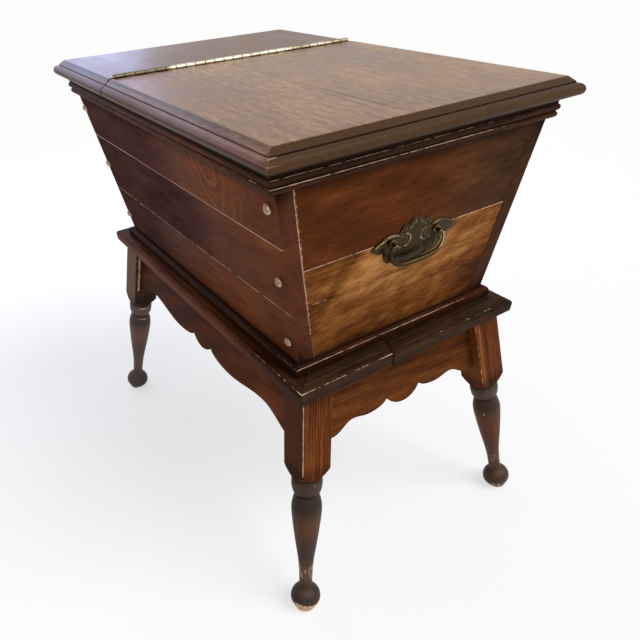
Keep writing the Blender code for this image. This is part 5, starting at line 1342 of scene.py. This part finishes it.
def bail_surface():
    """A round wire of changing radius swept along the bail's path, in a plane through the pivots: from
    each tip out to the bend, down beside the post and along the swelling grip."""
    half, drop, wire, grip, bend = BAIL_HALF, BAIL_DROP, BAIL_WIRE, BAIL_GRIP, BAIL_BEND
    knots = [(POST_X - BAIL_TIP_IN, 0, wire), (half - bend * 1.6, 0, wire),
             (half - bend * 0.4, -bend * 0.3, wire), (half, -bend, wire),
             (half + wire * 0.4, -drop * 0.34, wire * 1.1), (half - wire, -drop * 0.64, wire * 1.25),
             (half * 0.72, -drop * 0.90, wire * 1.4), (half * 0.36, -drop * 0.985, grip * 0.86),
             (0, -drop, grip)]
    right = smooth_curve(knots, 10)
    path = np.vstack([right, right[-2::-1] * [-1, 1, 1]])
    heading = np.gradient(path[:, :2], axis=0)
    heading = heading / np.linalg.norm(heading, axis=1, keepdims=True)
    side = np.column_stack([-heading[:, 1], heading[:, 0]])
    turn = 2 * np.pi * np.arange(BAIL_ROUND) / BAIL_ROUND
    radius = np.concatenate([[0], path[:, 2], [0]])[:, None]
    index = np.concatenate([[0], np.arange(len(path)), [len(path) - 1]])
    middle, across = path[index, :2], side[index]
    outward = radius * np.cos(turn)
    x = middle[:, :1] + across[:, :1] * outward
    z = middle[:, 1:2] + across[:, 1:] * outward
    return x, radius * np.sin(turn), z, turn


x, y, z, turn = bail_surface()
points = PULL_ORIGIN + POST_STANDOFF * PULL_OUT + np.stack([x, y, z], -1)
# Painted highlight: a thin glint along the wire, brightest on the right leg.
glint = bump_at(turn, 4.1, 0.4) * (0.16 + 0.1 * ease(-z, 0.014, 0.02) + 0.6 * ease(x, 0.026, 0.034))
add_piece("pull_bail_wire", points, net(*x.shape, wrap=True).tolist(), pull_brass, "old_brass",
          ["pull_bail"], body="bail", tone=0.3, wear=0.05 + glint, soil=0.62 - 0.5 * glint)

# Studio. A plain pale floor that fades into white behind the table, a large soft lamp from the upper
# right front, and a cool skylight over the back left corner.

FLOOR_HALF, FLOOR_Z = 30.0, -0.0002
FLOOR_WHITE, FLOOR_GLOW, WORLD_LIGHT = 0.985, 0.6, 0.5
KEY_PLACE, SKY_PLACE, SKY_AIM = (0.55, -0.75, 0.95), (-0.15, 1.7, 0.95), (-0.1, 0.1, 0.56)
CAMERA_PLACE = (-0.41059, -0.65536, 0.69453)
CAMERA_RIGHT = (0.83318, -0.55106, -0.04632)
CAMERA_UP = (0.33815, 0.44140, 0.83115)
CAMERA_BACK = (-0.43757, -0.70816, 0.55411)


def seen(tree):
    """1 for rays that see a thing, straight or in a reflection, and 0 for those that light one."""
    rays = add_node(tree, "LightPath", {})
    straight = math_node(tree, "MAXIMUM", rays.outputs["Is Camera Ray"], rays.outputs["Is Glossy Ray"])
    return math_node(tree, "MAXIMUM", straight, rays.outputs["Is Transmission Ray"])


def placed(axes, place):
    """Matrix of a thing whose own axes are the given columns."""
    return Matrix([[*row, spot] for row, spot in zip(axes.tolist(), place)] + [[0, 0, 0, 1]])


def facing(place, aim):
    """Matrix of a lamp at a place, shining towards an aim point."""
    place, aim = np.array(place, float), np.array(aim, float)
    back = (place - aim) / np.linalg.norm(place - aim)
    right = np.cross(UP, back)
    right = right / np.linalg.norm(right)
    return placed(np.column_stack([right, np.cross(back, right), back]), place)


corner_signs = ((-1, -1), (1, -1), (1, 1), (-1, 1))
floor_corners = [(x * FLOOR_HALF, y * FLOOR_HALF, FLOOR_Z) for x, y in corner_signs]
floor_mesh = bpy.data.meshes.new("studio_floor")
floor_mesh.from_pydata(floor_corners, [], [(0, 1, 2, 3)])
studio_floor = add_object("studio_floor", floor_mesh)
studio_floor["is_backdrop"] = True
floor_material, tree, floor_shader = new_material("studio_floor_paint")
floor_shader.inputs["Base Color"].default_value = (FLOOR_WHITE, FLOOR_WHITE, FLOOR_WHITE, 1)
floor_shader.inputs["Roughness"].default_value = 0.8
floor_shader.inputs["Specular IOR Level"].default_value = 0.1
white = add_node(tree, "Emission", {"Color": (1, 1, 1, 1), "Strength": 1.0}).outputs[0]
share = math_node(tree, "MULTIPLY", seen(tree), FLOOR_GLOW)
blend = add_node(tree, "MixShader", {0: share, 1: floor_shader.outputs[0], 2: white}).outputs[0]
tree.links.new(blend, tree.nodes["Material Output"].inputs["Surface"])
floor_mesh.materials.append(floor_material)

world = bpy.data.worlds.new("studio")
bpy.context.scene.world = world
world.use_nodes = True
tree = world.node_tree
backdrop = tree.nodes["Background"]
backdrop.inputs["Color"].default_value = (1, 1, 1, 1)
strength = math_node(tree, "MULTIPLY_ADD", seen(tree), 1 - WORLD_LIGHT, WORLD_LIGHT)
tree.links.new(strength, backdrop.inputs["Strength"])

key = bpy.data.lights.new("key_sun", "SUN")
key.energy = 2.1
key.angle = math.radians(40)
key.color = (1.0, 0.97, 0.93)
add_object("key_sun", key).matrix_world = facing(KEY_PLACE, (0, 0, 0))
sky = bpy.data.lights.new("sky_panel", "AREA")
sky.shape = "RECTANGLE"
sky.size, sky.size_y = 1.3, 0.9
sky.energy = 11
sky.color = (0.45, 0.58, 1.0)
add_object("sky_panel", sky).matrix_world = facing(SKY_PLACE, SKY_AIM)

camera = add_object("camera", bpy.data.cameras.new("camera"))
camera.data.sensor_width = 36
camera.data.lens = 34.616
camera.data.shift_x = 0.0494
camera.data.shift_y = 0.0273
camera.data.clip_start = 0.01
camera.matrix_world = placed(np.column_stack([CAMERA_RIGHT, CAMERA_UP, CAMERA_BACK]), CAMERA_PLACE)
bpy.context.scene.camera = camera
bpy.context.scene.view_settings.view_transform = "Standard"

low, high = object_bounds()
{"cad": [list(cad_low), list(cad_high)], "visual": [list(low), list(high)]}
